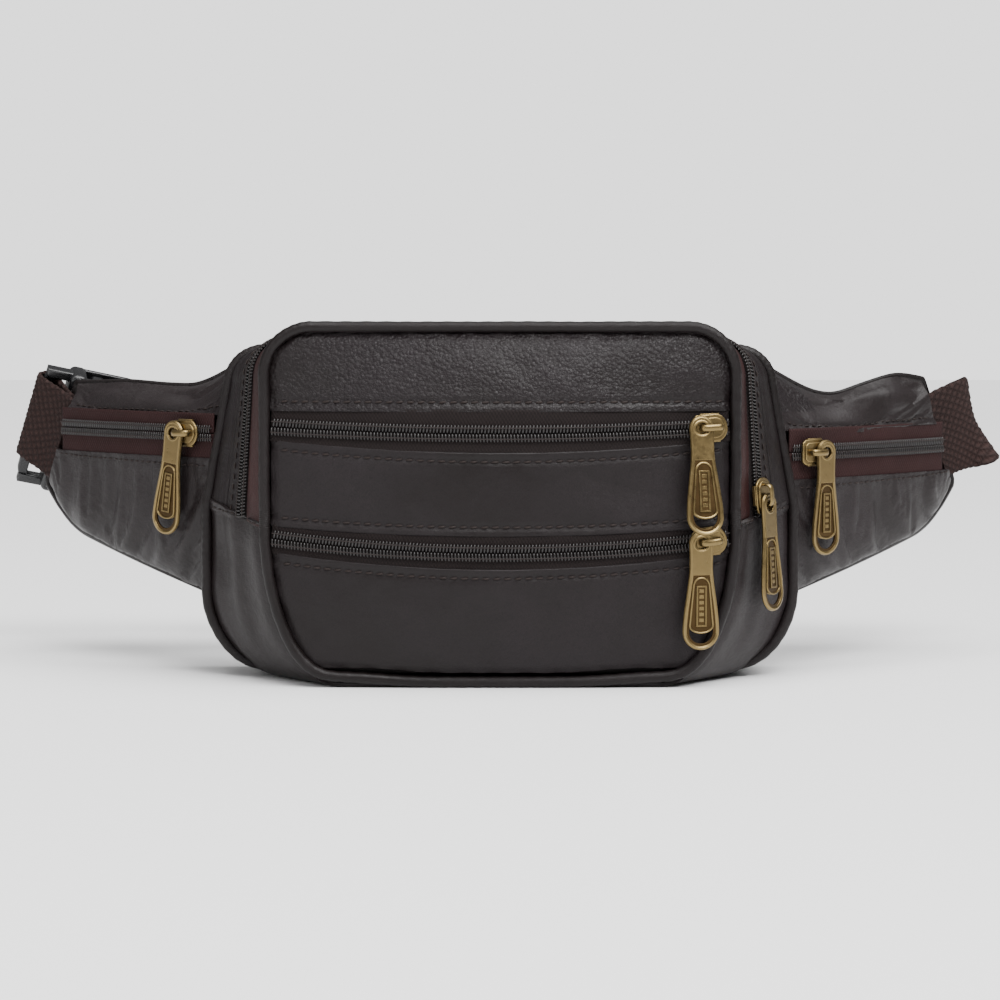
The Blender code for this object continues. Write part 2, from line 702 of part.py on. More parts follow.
def build_wing_lining(side, sign, low_lip, mats):
    """The wing pocket's bag: down behind the lower panel and up the back panel."""
    def surface(u, t):
        u = u if sign > 0 else 1.0 - u
        height = abs(2.0 * t - 1.0)
        behind = t < 0.5
        x, z = 140.0, 80.0
        for _ in range(6):
            floor = bottom_z(x) + 9.0
            ceiling = (top_z(x) - 9.0) if behind else low_lip - 4.0
            z = floor + (ceiling - floor) * height
            x = min(wing_x(u, z, SEAM + 2.0), 164.0)
        near = wing_front_y(x, z) + LEATHER + 1.3
        far = back_y(x) - PADDING - GAP - 1.2
        y = far if behind else near
        blend = smooth(height, 0.0, 0.16)
        y = (near + far) / 2 + (y - (near + far) / 2) * blend
        return Vector((sign * x, y, z))
    return shell(f"wing_{side}_lining", surface, 7, 13, LINING, mats["lining"])


def build_back_panel(mats):
    def surface(u, t):
        x, z = 0.0, 60.0
        for _ in range(8):
            z = bottom_z(x) + (top_z(x) - bottom_z(x)) * t
            x = (2.0 * u - 1.0) * tip_x(z)
        return Vector((-x, back_y(x), z))
    return shell("back_panel", surface, 37, 8, PADDING, mats["lining"])


# ---------------------------------------------------------------- linings

def build_linings(mats):
    y_wall = Y_FRONT + 2.6
    rim = inset_rim(FRONT_RIM, SEAM + 1.2)

    def partition(u, t):
        z = 5.4 + (rim["top_z"] - 1.0 - 5.4) * t
        x = (2.0 * u - 1.0) * (rim_half_width(rim, z) - 0.5)
        return Vector((x, y_wall, z))

    shell("front_partition", partition, 9, 9, LINING, mats["lining"])

    def divider(u, t):
        x = (2.0 * u - 1.0) * 79.0
        low, high = Y_FRONT + 1.6, front_y(x, 66.0) + LEATHER + 1.0
        return Vector((x, low + (high - low) * (1.0 - t), 66.0))

    shell("front_pocket_divider", divider, 13, 2, LINING, mats["lining"])

    def pouch(u, t):
        s = 2.1 + 7.8 * u
        s = s if s <= 6.0 else s - 12.0
        y = (Y_FRONT + 5.0) + (Y_BACK - PADDING - 1.5 - Y_FRONT - 5.0) * t
        share = min(1.0, (y - Y_FRONT) / (Y_RIDGE - Y_FRONT))
        lift = LEATHER + 1.4
        front = rim_point(inset_rim(FRONT_RIM, lift), s, y)
        ridge = rim_point(inset_rim(RIDGE_RIM, lift + 0.8), s, y)
        p = front.lerp(ridge, share)
        p.z = max(p.z, lift + 0.1)
        return p

    shell("main_lining", pouch, 33, 3, LINING, mats["lining"])


# ---------------------------------------------------------------- belt and buckle

def ribbon(name, points, widths, mat):
    """Webbing through points, with a width direction at each."""
    rings = []
    last = len(points) - 1
    for i, (point, width) in enumerate(zip(points, widths)):
        run = (points[min(i + 1, last)] - points[max(i - 1, 0)]).normalized()
        across = (width - run * width.dot(run)).normalized()
        normal = run.cross(across)
        w, n = across * (WEB_W / 2), normal * (WEB_T / 2)
        rings.append([point - w - n, point + w - n, point + w + n, point - w + n])
    return sweep(name, rings, mat)


def hermite(p0, d0, p1, d1, count):
    """Points of a smooth curve between two ends with their directions."""
    points = []
    for i in range(count):
        t = i / (count - 1)
        a, b = 2 * t ** 3 - 3 * t ** 2 + 1, t ** 3 - 2 * t ** 2 + t
        c, d = -2 * t ** 3 + 3 * t ** 2, t ** 3 - t ** 2
        points.append(p0 * a + d0 * b + p1 * c + d1 * d)
    return points


def turn_round(centre, run, normal, radius, count):
    """A half turn round a bar, from -normal to +normal, bulging along run."""
    return [centre + (run * math.sin(a) - normal * math.cos(a)) * radius
            for a in (math.pi * i / (count - 1) for i in range(count))]


def wing_exit(sign):
    """Where the webbing leaves a wing: middle of its end, run direction, width direction."""
    point = Vector((sign * 179.2, 86.5, 90.0))
    width = Vector((sign * 0.311, 0.340, -0.888)).normalized()
    run = Vector((sign * 0.684, 0.729, 0.0))
    run = (run - width * run.dot(width)).normalized()
    return point, run, width


def build_tab(mats):
    """Left tab: out of the wing, round the buckle's bar and back, sewn together inside."""
    point = wing_exit(-1.0)[0]
    width = BUCKLE_W
    run = (BUCKLE_BAR - point)
    run = (run - width * run.dot(width)).normalized()
    normal = width.cross(run)
    start = BUCKLE_BAR - run * TAB_RUN
    sewn = WEB_T / 2 + 0.15
    turn = turn_round(BUCKLE_BAR, run, normal, LOOP_R, 9)
    ease = [start + run * (TAB_RUN * i / 4) for i in range(4)]
    spread = [sewn + (LOOP_R - sewn) * smooth(i / 4, 0.25, 1.0) for i in range(4)]
    near = [p - normal * d for p, d in zip(ease, spread)]
    far = [p + normal * d for p, d in zip(reversed(ease), reversed(spread))]
    points = near + turn + far
    ribbon("webbing_tab", points, [width] * len(points), mats["webbing"])


def build_belt(mats):
    """Right wing, round behind the pack, through the male half's bar and back as a tail."""
    point, run, width = wing_exit(1.0)
    down = Vector((0.0, 0.0, -1.0))
    east = Vector((1.0, 0.0, 0.0))
    apex, behind = BELT_BEND
    over = Vector((-0.05, 1.0, -0.12))
    inward = Vector((-0.95, 0.05, -0.31))
    right = Vector((BELT_STRAIGHT[1], BELT_Y, BELT_Z))
    left = Vector((BELT_STRAIGHT[0], BELT_Y, BELT_Z))
    bar = BUCKLE_BAR + BUCKLE_B * MALE_BAR_B
    normal = BUCKLE_W.cross(BUCKLE_B)
    if normal.y < 0:
        normal = -normal
    near_bar = bar - normal * LOOP_R
    start = point - run * 1.5 + Vector((0.0, 0.8, 0.0))
    first = hermite(start, run * 26.0, apex, over * 16.0, 7)
    second = hermite(apex, over * 20.0, behind, inward * 20.0, 7)[1:]
    third = hermite(behind, inward * 70.0, right, east * -70.0, 10)[1:]
    middle = [right.lerp(left, t / 6) for t in range(1, 7)]
    last = hermite(left, east * -62.0, near_bar, BUCKLE_B * -62.0, 9)[1:]
    points = first + second + third + middle + last
    widths = [width.lerp(BELT_BEND_WIDTH, i / len(first)) for i in range(len(first))]
    widths += [BELT_BEND_WIDTH] * len(second)
    for p in third + middle + last:
        if p.x > right.x:
            widths.append(down.lerp(BELT_BEND_WIDTH, smooth(p.x, right.x, behind.x)))
        else:
            widths.append(down.lerp(BUCKLE_W, smooth(-p.x, -left.x, -near_bar.x - 9.0)))
    turn = turn_round(bar, -BUCKLE_B, normal, LOOP_R, 9)[1:-1]
    far_bar = bar + normal * LOOP_R
    tail_left = left + Vector((0.0, TAIL_GAP, 0.0))
    tail = hermite(far_bar, BUCKLE_B * 62.0, tail_left, east * 62.0, 9)
    tail += [Vector((x, tail_left.y, BELT_Z)) for x in (-40.0, -20.0, 0.0, TAIL_END_X)]
    points += turn + tail
    widths += [BUCKLE_W] * len(turn)
    widths += [down.lerp(BUCKLE_W, smooth(-p.x, -left.x, -far_bar.x - 9.0)) for p in tail]
    ribbon("waist_belt", points, widths, mats["webbing"])


def buckle_matrix():
    return frame_matrix(BUCKLE_BAR + BUCKLE_W * BUCKLE_DROP, BUCKLE_B, BUCKLE_W)


def build_buckle(mats):
    """Side-release buckle: female half with its bar, male half, two sprung prongs."""
    place, mat = buckle_matrix(), mats["plastic"]
    half_w, half_t = FEMALE_W / 2, FEMALE_T / 2
    female = block("buckle_female", (-BAR_HALF, -half_w, -2.6), (BODY_START + 1.0, half_w, 2.6), place, mat)
    shell_part = block("female_shell", (BODY_START, -half_w, -half_t), (FEMALE_L, half_w, half_t),
                       place, mat)
    join(female, shell_part)
    cut(female, block("female_slot_cut", (BAR_HALF, -SLOT_HALF, -9.0), (BODY_START - 0.3, SLOT_HALF, 9.0),
                      place, mat))
    thin_bar("female", female, (-3.0, BAR_HALF + 0.2), place, mat)
    cut(female, block("female_cavity", (BODY_START + 2.2, -CAVITY_HALF, -3.8), (60.0, CAVITY_HALF, 3.8),
                      place, mat))
    cut(female, block("female_open_sides", (14.5, -40.0, -3.5), (60.0, 40.0, 3.5), place, mat))
    male = block("buckle_male", (FEMALE_L + 0.6, -half_w + 3.0, -3.2), (47.0, half_w - 3.0, 3.2),
                 place, mat)
    join(male, block("male_frame", (46.0, -half_w, -2.4), (MALE_BAR_B + BAR_HALF, half_w, 2.4),
                     place, mat))
    join(male, block("male_tongue", (16.0, -4.0, -2.4), (FEMALE_L + 2.0, 4.0, 2.4), place, mat))
    cut(male, block("male_slot_cut", (47.6, -SLOT_HALF, -9.0),
                    (MALE_BAR_B - BAR_HALF, SLOT_HALF, 9.0), place, mat))
    thin_bar("male", male, (MALE_BAR_B - BAR_HALF - 0.4, 62.0), place, mat)
    build_prongs(place, mat)


def thin_bar(name, frame_part, b_range, place, mat):
    """Leave only a thin bar between the sides of a frame."""
    half_w = SLOT_HALF + 0.3
    for i, side in enumerate((-1.0, 1.0)):
        near, far = sorted((side * BAR_HALF, side * BUCKLE_DEEP))
        cut(frame_part, block(f"{name}_bar_cut_{i}", (b_range[0], -half_w, near),
                              (b_range[1], half_w, far), place, mat))


def build_prongs(place, mat):
    """Two sprung arms, whose fins stand in the female half's open sides."""
    arm = [(36.8, 14.0), (36.8, 17.6), (24.0, 21.0), (22.5, 25.4), (18.0, 25.4),
           (13.5, 18.0), (13.5, 15.0), (27.0, 16.2)]
    for name, sign in (("upper", -1.0), ("lower", 1.0)):
        outline = [(b, sign * w) for b, w in arm]
        root = place @ Vector((PRONG_ROOT[0], sign * PRONG_ROOT[1], 0.0))
        plate(f"buckle_prong_{name}", outline, (-3.0, 3.0), place, mat, root)


def build_keeper(mats):
    """Loop that holds the belt's tail against the belt."""
    mid_y = BELT_Y + TAIL_GAP / 2
    place = Matrix.Translation(Vector((KEEPER_X, mid_y, BELT_Z)))
    half_in_y = (TAIL_GAP + WEB_T) / 2 + 0.5
    half_in_z = WEB_W / 2 + 0.8
    ring = block("belt_keeper", (-4.5, -half_in_y - 1.5, -half_in_z - 1.8),
                 (4.5, half_in_y + 1.5, half_in_z + 1.8), place, mats["plastic"])
    cut(ring, block("keeper_cut", (-9.0, -half_in_y, -half_in_z), (9.0, half_in_y, half_in_z),
                    place, mats["plastic"]))


# ---------------------------------------------------------------- assembly

def build_main_slider(mats):
    point, along, across, outward = main_zip_frame(MAIN_SLIDER_Z)
    slider("main_zip_slider", frame_matrix(point, along, across), mats["brass"])
    leg = point + outward * (CHAIN_OUT + SLIDER_CLEAR + SLIDER_T + BRIDGE_H * 0.5)
    leg -= along * (SLIDER_L / 2 * SLIDER_LEG)
    pull("main_zip_pull", pull_place(leg, outward, (0.0, 0.0, -1.0)), mats["brass"])


def main():
    clear_scene()
    mats = make_materials()
    build_front_wall(mats)
    build_front_zip("front_zip_upper", ZIP_UPPER, 5.0, mats)
    build_front_zip("front_zip_lower", ZIP_LOWER, 0.0, mats)
    build_gusset(mats)
    build_main_slider(mats)
    build_rear_body(mats)
    build_back_panel(mats)
    for side, sign in WING_SIDES:
        build_wing(side, sign, mats)
    build_linings(mats)
    build_tab(mats)
    build_belt(mats)
    build_buckle(mats)
    build_keeper(mats)


main()
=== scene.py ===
"""Looks of the leather waist pack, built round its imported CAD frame.

Shapes are worked out in millimetres, like the design, and turned into metres where a mesh is made.
+X is to the right from the front, -Y is the front, +Z is up, and the pack stands on z = 0.
"""
import json
import random
from math import asin, atan2, copysign, cos, exp, hypot, pi, radians, sin, sqrt, tau

import bpy
import bmesh
from mathutils import Matrix, Vector, noise


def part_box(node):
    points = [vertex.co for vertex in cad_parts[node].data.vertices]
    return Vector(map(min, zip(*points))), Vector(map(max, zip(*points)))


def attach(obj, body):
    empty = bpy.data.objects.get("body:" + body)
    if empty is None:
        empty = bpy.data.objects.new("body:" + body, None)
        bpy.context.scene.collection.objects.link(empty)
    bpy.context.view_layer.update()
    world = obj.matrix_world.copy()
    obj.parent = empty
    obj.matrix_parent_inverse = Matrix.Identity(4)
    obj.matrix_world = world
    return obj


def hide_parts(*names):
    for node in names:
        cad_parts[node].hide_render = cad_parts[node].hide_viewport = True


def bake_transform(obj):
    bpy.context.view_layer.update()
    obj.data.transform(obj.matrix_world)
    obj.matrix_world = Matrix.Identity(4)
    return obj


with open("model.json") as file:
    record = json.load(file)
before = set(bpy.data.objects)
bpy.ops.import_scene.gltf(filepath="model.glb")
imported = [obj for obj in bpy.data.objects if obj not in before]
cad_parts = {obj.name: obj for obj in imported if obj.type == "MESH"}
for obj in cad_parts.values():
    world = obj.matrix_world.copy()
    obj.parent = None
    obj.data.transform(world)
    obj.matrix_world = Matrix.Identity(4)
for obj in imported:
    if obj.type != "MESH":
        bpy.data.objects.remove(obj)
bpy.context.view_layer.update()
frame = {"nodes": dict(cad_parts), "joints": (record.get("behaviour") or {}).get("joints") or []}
MM = 0.001
REAR, UP = Vector((0.0, 1.0, 0.0)), Vector((0.0, 0.0, 1.0))


def box_mm(node):
    low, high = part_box(node)
    return low / MM, high / MM


# ---------------------------------------------------------------- sizes

PIPING_R = 2.15
SEAM = 2.7
LEATHER, TAPE, PADDING, GAP = 1.6, 0.7, 3.0, 0.35
PIPING_LOW = 2.4
Y_FRONT = box_mm("front_piping")[0].y + PIPING_R
Y_RIDGE = box_mm("ridge_piping")[1].y - PIPING_R
Y_BACK = 46.0
FRONT_BULGE = 12.3

FRONT_RIM = dict(top_x=70.5, top_z=136.0, corner=(88.5, 118.0), waist=(88.5, 67.0),
                 low=(88.5, 60.0), bottom_x=58.5, bottom_z=0.0)
RIDGE_RIM = dict(top_x=90.0, top_z=127.0, corner=(104.5, 114.0), waist=(113.5, 66.0),
                 low=(113.5, 35.0), bottom_x=82.0, bottom_z=0.0)
RIM_END, RIM_ROUND = 5.0, 6.0      # along a rim: end of its low corner, middle of its bottom

ZIP_UPPER = dict(mid=96.5, side=98.8, lip_top=(104.6, 104.6), lip_low=(89.6, 94.4), slope=3.5)
ZIP_LOWER = dict(mid=52.0, side=57.0, lip_top=(58.0, 61.2), lip_low=(46.0, 52.0), slope=-1.3)
TOOTH_PITCH = 1.27

MAIN_CHAIN = 0.40
MAIN_CHAIN_HALF = 0.085
MAIN_TAPE_REAR, TAPE_GAP = 0.66, 0.008
CHAIN_START, CHAIN_STEPS = -2.97, 5200

WING_ARC_CENTRE = (-145.9, 361.7)
WING_ARC_R = 430.0
WING_TIP_TOP, WING_TIP_MID, WING_TIP_LOW = (172.0, 112.5), (186.0, 72.0), (182.0, 56.0)
WING_SWEEP_X, WING_SWEEP = 85.0, 0.0055
WING_ZIP = {"left": dict(z=94.5, lips=(85.0, 101.5)), "right": dict(z=87.0, lips=(76.5, 95.5))}
WING_COLS, WING_SLACK, SETTLE_REACH = 84, 0.018, 2.2
SETTLE_FRAMES, SETTLE_JITTER = 24, 0.00004       # the jitter, in metres, starts the folds
WING_SIDES = (("left", -1.0), ("right", 1.0))

TAPE_SINK = -0.35        # a zip's tapes lie under the turned leather lips
STITCH_PITCH, STITCH_LENGTH, STITCH_R = 4.0, 2.7, 0.42
STITCH_IN, FINE_STITCH_IN = 3.6, 2.6
GUSSET_WIDTH, GUSSET_RUN = 34.0, 330.0
WING_SLIDER_X, WING_MIDDLE_X = 121.0, 140.0
QUILT_CHANNEL, QUILT_MARGIN = 46.0, 16.0


# ---------------------------------------------------------------- node materials

def opaque(colour):
    return colour if isinstance(colour, bpy.types.NodeSocket) else (*colour, 1.0)


class Nodes:
    """A short way to write a node material."""

    def __init__(self, name):
        self.mat = bpy.data.materials.new(name)
        self.mat.use_nodes = True
        self.tree = self.mat.node_tree
        self.shader = self.tree.nodes["Principled BSDF"]
        self.coords = self.tree.nodes.new("ShaderNodeTexCoord")
        self.place = self.coords.outputs["Object"]

    def add(self, kind, inputs=None, **settings):
        node = self.tree.nodes.new(kind)
        for key, value in settings.items():
            setattr(node, key, value)
        for key, value in (inputs or {}).items():
            self.put(node.inputs[key], value)
        return node

    def put(self, socket, value):
        if isinstance(value, bpy.types.NodeSocket):
            self.tree.links.new(value, socket)
        else:
            socket.default_value = value

    def noise(self, scale, detail=3.0, rough=0.55, vector=None, distortion=0.0):
        node = self.add("ShaderNodeTexNoise", {"Scale": scale, "Detail": detail, "Roughness": rough,
                                               "Distortion": distortion})
        self.put(node.inputs["Vector"], vector or self.place)
        return node.outputs["Fac"]

    def voronoi(self, scale, feature="F1", smoothness=0.0, vector=None):
        node = self.add("ShaderNodeTexVoronoi", {"Scale": scale}, feature=feature)
        if feature == "SMOOTH_F1":
            node.inputs["Smoothness"].default_value = smoothness
        self.put(node.inputs["Vector"], vector or self.place)
        return node.outputs["Distance"]

    def math(self, operation, a, b=0.0, clamp=False):
        node = self.add("ShaderNodeMath", {0: a, 1: b}, operation=operation, use_clamp=clamp)
        return node.outputs[0]

    def times(self, a, b, clamp=False):
        return self.math("MULTIPLY", a, b, clamp)

    def plus(self, a, b, clamp=False):
        return self.math("ADD", a, b, clamp)

    def inverse(self, a):
        return self.math("SUBTRACT", 1.0, a)

    def uv(self):
        """Both coordinates of the piece's UV, in metres."""
        split = self.add("ShaderNodeSeparateXYZ")
        self.put(split.inputs[0], self.coords.outputs["UV"])
        return split.outputs["X"], split.outputs["Y"]

    def remap(self, value, low, high, to_low=0.0, to_high=1.0):
        node = self.add("ShaderNodeMapRange", {"Value": value, "From Min": low, "From Max": high,
                                               "To Min": to_low, "To Max": to_high})
        return node.outputs["Result"]

    def mix(self, factor, a, b):
        node = self.add("ShaderNodeMix", data_type="RGBA")
        self.put(node.inputs["Factor"], factor)
        self.put(node.inputs[6], opaque(a))
        self.put(node.inputs[7], opaque(b))
        return node.outputs[2]

    def bump(self, height, distance, strength=1.0, normal=None):
        node = self.add("ShaderNodeBump", {"Height": height, "Distance": distance,
                                           "Strength": strength})
        if normal:
            self.put(node.inputs["Normal"], normal)
        return node.outputs["Normal"]

    def finish(self, colour, roughness, normal=None, **sockets):
        self.put(self.shader.inputs["Base Color"], opaque(colour))
        self.put(self.shader.inputs["Roughness"], roughness)
        if normal:
            self.put(self.shader.inputs["Normal"], normal)
        for key, value in sockets.items():
            self.shader.inputs[key.replace("_", " ")].default_value = value
        return self.mat


def leather(name, dark, light, pebble=0.0, pebble_scale=620.0, creases=1.0, roughness=0.4,
            coat=0.0, gloss=0.2):
    """Dyed leather: cells of grain, fine pores, soft creases and a rubbed, uneven finish."""
    m = Nodes(name)
    warp = m.add("ShaderNodeMix", data_type="VECTOR")
    warp.inputs["Factor"].default_value = 0.0006
    m.put(warp.inputs[4], m.place)
    wobble = m.add("ShaderNodeTexNoise", {"Scale": 180.0, "Detail": 2.0})
    m.put(wobble.inputs["Vector"], m.place)
    m.put(warp.inputs[5], wobble.outputs["Color"])
    warped = warp.outputs[1]
    cells = m.voronoi(pebble_scale, "SMOOTH_F1", 0.35, warped)
    edges = m.remap(m.voronoi(pebble_scale * 1.7, "DISTANCE_TO_EDGE", vector=warped), 0.0, 0.16)
    pores = m.noise(2600.0, 2.0)
    soft = m.noise(46.0, 3.0, 0.5, distortion=0.6)
    patches = m.noise(15.0, 2.0)
    grain = m.times(m.inverse(cells), pebble)
    grain = m.plus(grain, m.times(edges, 0.10 + 0.12 * pebble))
    grain = m.times(grain, m.remap(patches, 0.36, 0.60, 0.45, 1.25))
    grain = m.plus(grain, m.times(pores, 0.10))
    normal = m.bump(soft, 0.0011 * creases, 0.75)
    normal = m.bump(grain, 0.00042, 0.85, normal)
    tone = m.plus(m.times(patches, 0.6), m.times(soft, 0.4))
    tone = m.remap(tone, 0.32, 0.68)
    colour = m.mix(tone, dark, light)
    colour = m.mix(m.times(m.inverse(edges), 0.55, True), colour,
                   tuple(c * 0.45 for c in dark))
    rough = m.remap(m.plus(m.times(patches, 0.7), m.times(pores, 0.3)),
                    0.3, 0.7, roughness - 0.07, roughness + 0.10)
    return m.finish(colour, rough, normal, Coat_Weight=coat, Coat_Roughness=0.22,
                    Specular_IOR_Level=gloss)


def woven(name, dark, light, warp_scale=1500.0, weft_scale=900.0, roughness=0.8):
    """Plain woven tape or lining: crossing threads from the piece's UV, in metres."""
    m = Nodes(name)
    x, y = m.uv()
    along = m.math("SINE", m.times(x, warp_scale * pi))
    over = m.math("SINE", m.times(y, weft_scale * pi))
    weave = m.remap(m.times(along, over), -1.0, 1.0)
    dirt = m.noise(60.0, 3.0)
    colour = m.mix(m.plus(m.times(weave, 0.6), m.times(dirt, 0.4)),
                   dark, light)
    normal = m.bump(weave, 0.00018, 0.9)
    return m.finish(colour, roughness, normal, Specular_IOR_Level=0.15)


def webbing_cloth(name, dark, light):
    """Coarse basket weave in slanted rows, from the piece's UV, in metres."""
    m = Nodes(name)
    x, y = m.uv()
    pitch = 1.0 / WEAVE_PITCH_M
    slant = m.plus(m.times(x, pitch), m.times(y, pitch * 0.62))
    cross = m.math("SUBTRACT", m.times(x, pitch * 0.62), m.times(y, pitch))
    a = m.math("ABSOLUTE", m.math("SINE", m.times(slant, pi)))
    b = m.math("ABSOLUTE", m.math("SINE", m.times(cross, pi)))
    knots = m.times(a, b)
    strands = m.math("SINE", m.times(m.plus(slant, cross), pi * 5.0))
    fuzz = m.noise(1800.0, 2.0)
    height = m.plus(knots, m.times(strands, 0.12))
    height = m.plus(height, m.times(fuzz, 0.25))
    patches = m.noise(25.0, 2.0)
    colour = m.mix(m.times(m.plus(knots, patches), 0.55, True), dark, light)
    normal = m.bump(height, 0.0007, 1.0)
    return m.finish(colour, 0.8, normal, Specular_IOR_Level=0.15)


def antique_brass(name, dark, light, roughness=0.32):
    """Brass with a brown patina in its hollows and rubbed, scratched high spots."""
    m = Nodes(name)
    blotch = m.noise(420.0, 5.0, 0.6)
    fine = m.noise(2600.0, 2.0)
    scratch_map = m.add("ShaderNodeMapping", {"Scale": (5200.0, 5200.0, 260.0)})
    m.put(scratch_map.inputs["Vector"], m.place)
    scratch = m.noise(1.0, 2.0, vector=scratch_map.outputs["Vector"])
    geometry = m.add("ShaderNodeNewGeometry")
    worn = m.remap(geometry.outputs["Pointiness"], 0.47, 0.56)
    shine = m.plus(m.times(worn, 0.75), m.times(blotch, 0.45), True)
    colour = m.mix(shine, dark, light)
    rough = m.remap(m.plus(blotch, m.times(scratch, 0.4)), 0.4, 1.0,
                    roughness - 0.10, roughness + 0.12)
    height = m.plus(m.times(blotch, 0.6), m.times(fine, 0.2))
    height = m.plus(height, m.times(scratch, 0.3))
    return m.finish(colour, rough, m.bump(height, 0.00012, 0.8), Metallic=0.95)


def moulded(name, colour, roughness, speck=0.00004):
    """Moulded plastic or nylon with a faint orange peel."""
    m = Nodes(name)
    peel = m.noise(900.0, 3.0)
    tone = m.mix(m.noise(70.0, 2.0), colour, tuple(c * 1.5 for c in colour))
    rough = m.remap(peel, 0.3, 0.7, roughness - 0.05, roughness + 0.07)
    return m.finish(tone, rough, m.bump(peel, speck, 0.7))


def thread(name, colour):
    """Twisted sewing thread."""
    m = Nodes(name)
    twist = m.noise(5200.0, 2.0)
    tone = m.mix(twist, tuple(c * 0.55 for c in colour), tuple(c * 1.35 for c in colour))
    return m.finish(tone, 0.62, m.bump(twist, 0.00008, 0.8), Specular_IOR_Level=0.25)


def mesh_cloth(name, dark, light, pitch=0.0024):
    """Spacer mesh of the padded back, with small round openings."""
    m = Nodes(name)
    cells = m.voronoi(1.0 / pitch, "F1")
    holes = m.remap(cells, 0.18, 0.34)
    fuzz = m.noise(2200.0, 2.0)
    colour = m.mix(holes, tuple(c * 0.35 for c in dark), light)
    colour = m.mix(m.times(fuzz, 0.5), colour, dark)
    height = m.plus(holes, m.times(fuzz, 0.3))
    return m.finish(colour, 0.9, m.bump(height, 0.0005, 0.9), Specular_IOR_Level=0.15)


WEAVE_PITCH_M = 0.0031
DARK_BROWN, PLUM_BROWN = (0.0062, 0.0040, 0.0039), (0.0120, 0.0086, 0.0098)
MAT = {
    "pebbled": leather("leather_pebbled", DARK_BROWN, (0.0118, 0.0082, 0.0096), pebble=1.25,
                       pebble_scale=720.0, creases=1.5, roughness=0.37, coat=0.03, gloss=0.20),
    "smooth": leather("leather_smooth", DARK_BROWN, PLUM_BROWN, pebble=0.24,
                      pebble_scale=800.0, creases=1.2, roughness=0.46),
    "wing": leather("leather_wing", (0.0078, 0.0052, 0.0050), (0.0165, 0.0120, 0.0130), pebble=0.22,
                    pebble_scale=700.0, creases=1.3, roughness=0.42, gloss=0.26),
    "piping": leather("leather_piping", (0.0052, 0.0035, 0.0034), (0.0105, 0.0074, 0.0076),
                      pebble=0.05, pebble_scale=900.0, creases=0.5, roughness=0.42),
    "burgundy": leather("leather_burgundy", (0.0150, 0.0048, 0.0047), (0.036, 0.0125, 0.0120),
                        pebble=0.08, pebble_scale=900.0, creases=0.5, roughness=0.5),
    # Burgundy zip tape drawn near black: painted shade for the tapes that lie in the front zips'
    # recesses and under the main zip's coil.
    "tape_painted_shade": woven("zip_tape_painted_shade", (0.0040, 0.0030, 0.0030), (0.012, 0.0075, 0.0072)),
    "tape_red": woven("zip_tape_red", (0.010, 0.0040, 0.0040), (0.027, 0.0100, 0.0098)),
    "coil": moulded("zip_coil", (0.0062, 0.0050, 0.0048), 0.34),
    "cord": thread("zip_cord", (0.0170, 0.0120, 0.0110)),
    "thread": thread("seam_thread", (0.014, 0.0085, 0.0072)),
    "brass": antique_brass("antique_brass", (0.048, 0.031, 0.0125), (0.205, 0.148, 0.064), 0.33),
    "patina": antique_brass("brass_patina", (0.018, 0.0108, 0.0050), (0.074, 0.045, 0.0175), 0.44),
    "webbing": webbing_cloth("belt_webbing", (0.0072, 0.0040, 0.0037), (0.034, 0.0185, 0.0165)),
    "plastic": moulded("buckle_plastic", (0.0050, 0.0050, 0.0056), 0.28),
    "lining": woven("lining_cloth", (0.006, 0.0055, 0.0055), (0.018, 0.0165, 0.016), 700.0, 700.0,
                    0.9),
    "mesh": mesh_cloth("back_mesh", (0.0070, 0.0062, 0.0062), (0.022, 0.0195, 0.0190)),
}


# ---------------------------------------------------------------- body shapes

def smooth(x, low, high):
    t = min(1.0, max(0.0, (x - low) / (high - low)))
    return t * t * (3.0 - 2.0 * t)


def rim_xz(rim, s):
    """Half outline of a rim, s from 0 at the top middle to 5 at the end of the low corner."""
    top_x, top_z = rim["top_x"], rim["top_z"]
    (cx, cz), (wx, wz), (lx, lz) = rim["corner"], rim["waist"], rim["low"]
    if s <= 1.0:
        return top_x * s, top_z
    if s <= 2.0:
        a = (s - 1.0) * pi / 2
        return top_x + (cx - top_x) * sin(a), cz + (top_z - cz) * cos(a)
    if s <= 3.0:
        return cx + (wx - cx) * (s - 2.0), cz + (wz - cz) * (s - 2.0)
    if s <= 4.0:
        return wx + (lx - wx) * (s - 3.0), wz + (lz - wz) * (s - 3.0)
    a = (s - 4.0) * pi / 2
    bottom_x, bottom_z = rim["bottom_x"], rim["bottom_z"]
    return bottom_x + (lx - bottom_x) * cos(a), lz - (lz - bottom_z) * sin(a)


def rim_point(rim, s, y):
    """Point on a rim; a negative s is on the left, and beyond 5 runs along the bottom."""
    side = -1.0 if s < 0 else 1.0
    reach = abs(s)
    if reach <= RIM_END:
        x, z = rim_xz(rim, reach)
    else:
        x, z = rim["bottom_x"] * (RIM_ROUND - reach), rim["bottom_z"]
    return Vector((side * x, y, z))


def under_to_rim(s):
    """Past the middle of the bottom, a place is counted back from the left side."""
    return s if s <= RIM_ROUND else s - 2.0 * RIM_ROUND


def inset_rim(rim, d):
    (cx, cz), (wx, wz), (lx, lz) = rim["corner"], rim["waist"], rim["low"]
    return dict(rim, top_z=rim["top_z"] - d, corner=(cx - d, cz), waist=(wx - d, wz),
                low=(lx - d, lz), bottom_z=rim["bottom_z"] + d)


def rim_half_width(rim, z):
    (cx, cz), (wx, wz), (lx, lz) = rim["corner"], rim["waist"], rim["low"]
    if z >= cz:
        drop = min(1.0, (z - cz) / (rim["top_z"] - cz))
        return rim["top_x"] + (cx - rim["top_x"]) * sqrt(1.0 - drop * drop)
    if z >= wz:
        return wx + (cx - wx) * (z - wz) / (cz - wz)
    if z >= lz:
        return wx
    drop = min(1.0, (lz - z) / (lz - rim["bottom_z"]))
    return rim["bottom_x"] + (lx - rim["bottom_x"]) * sqrt(1.0 - drop * drop)


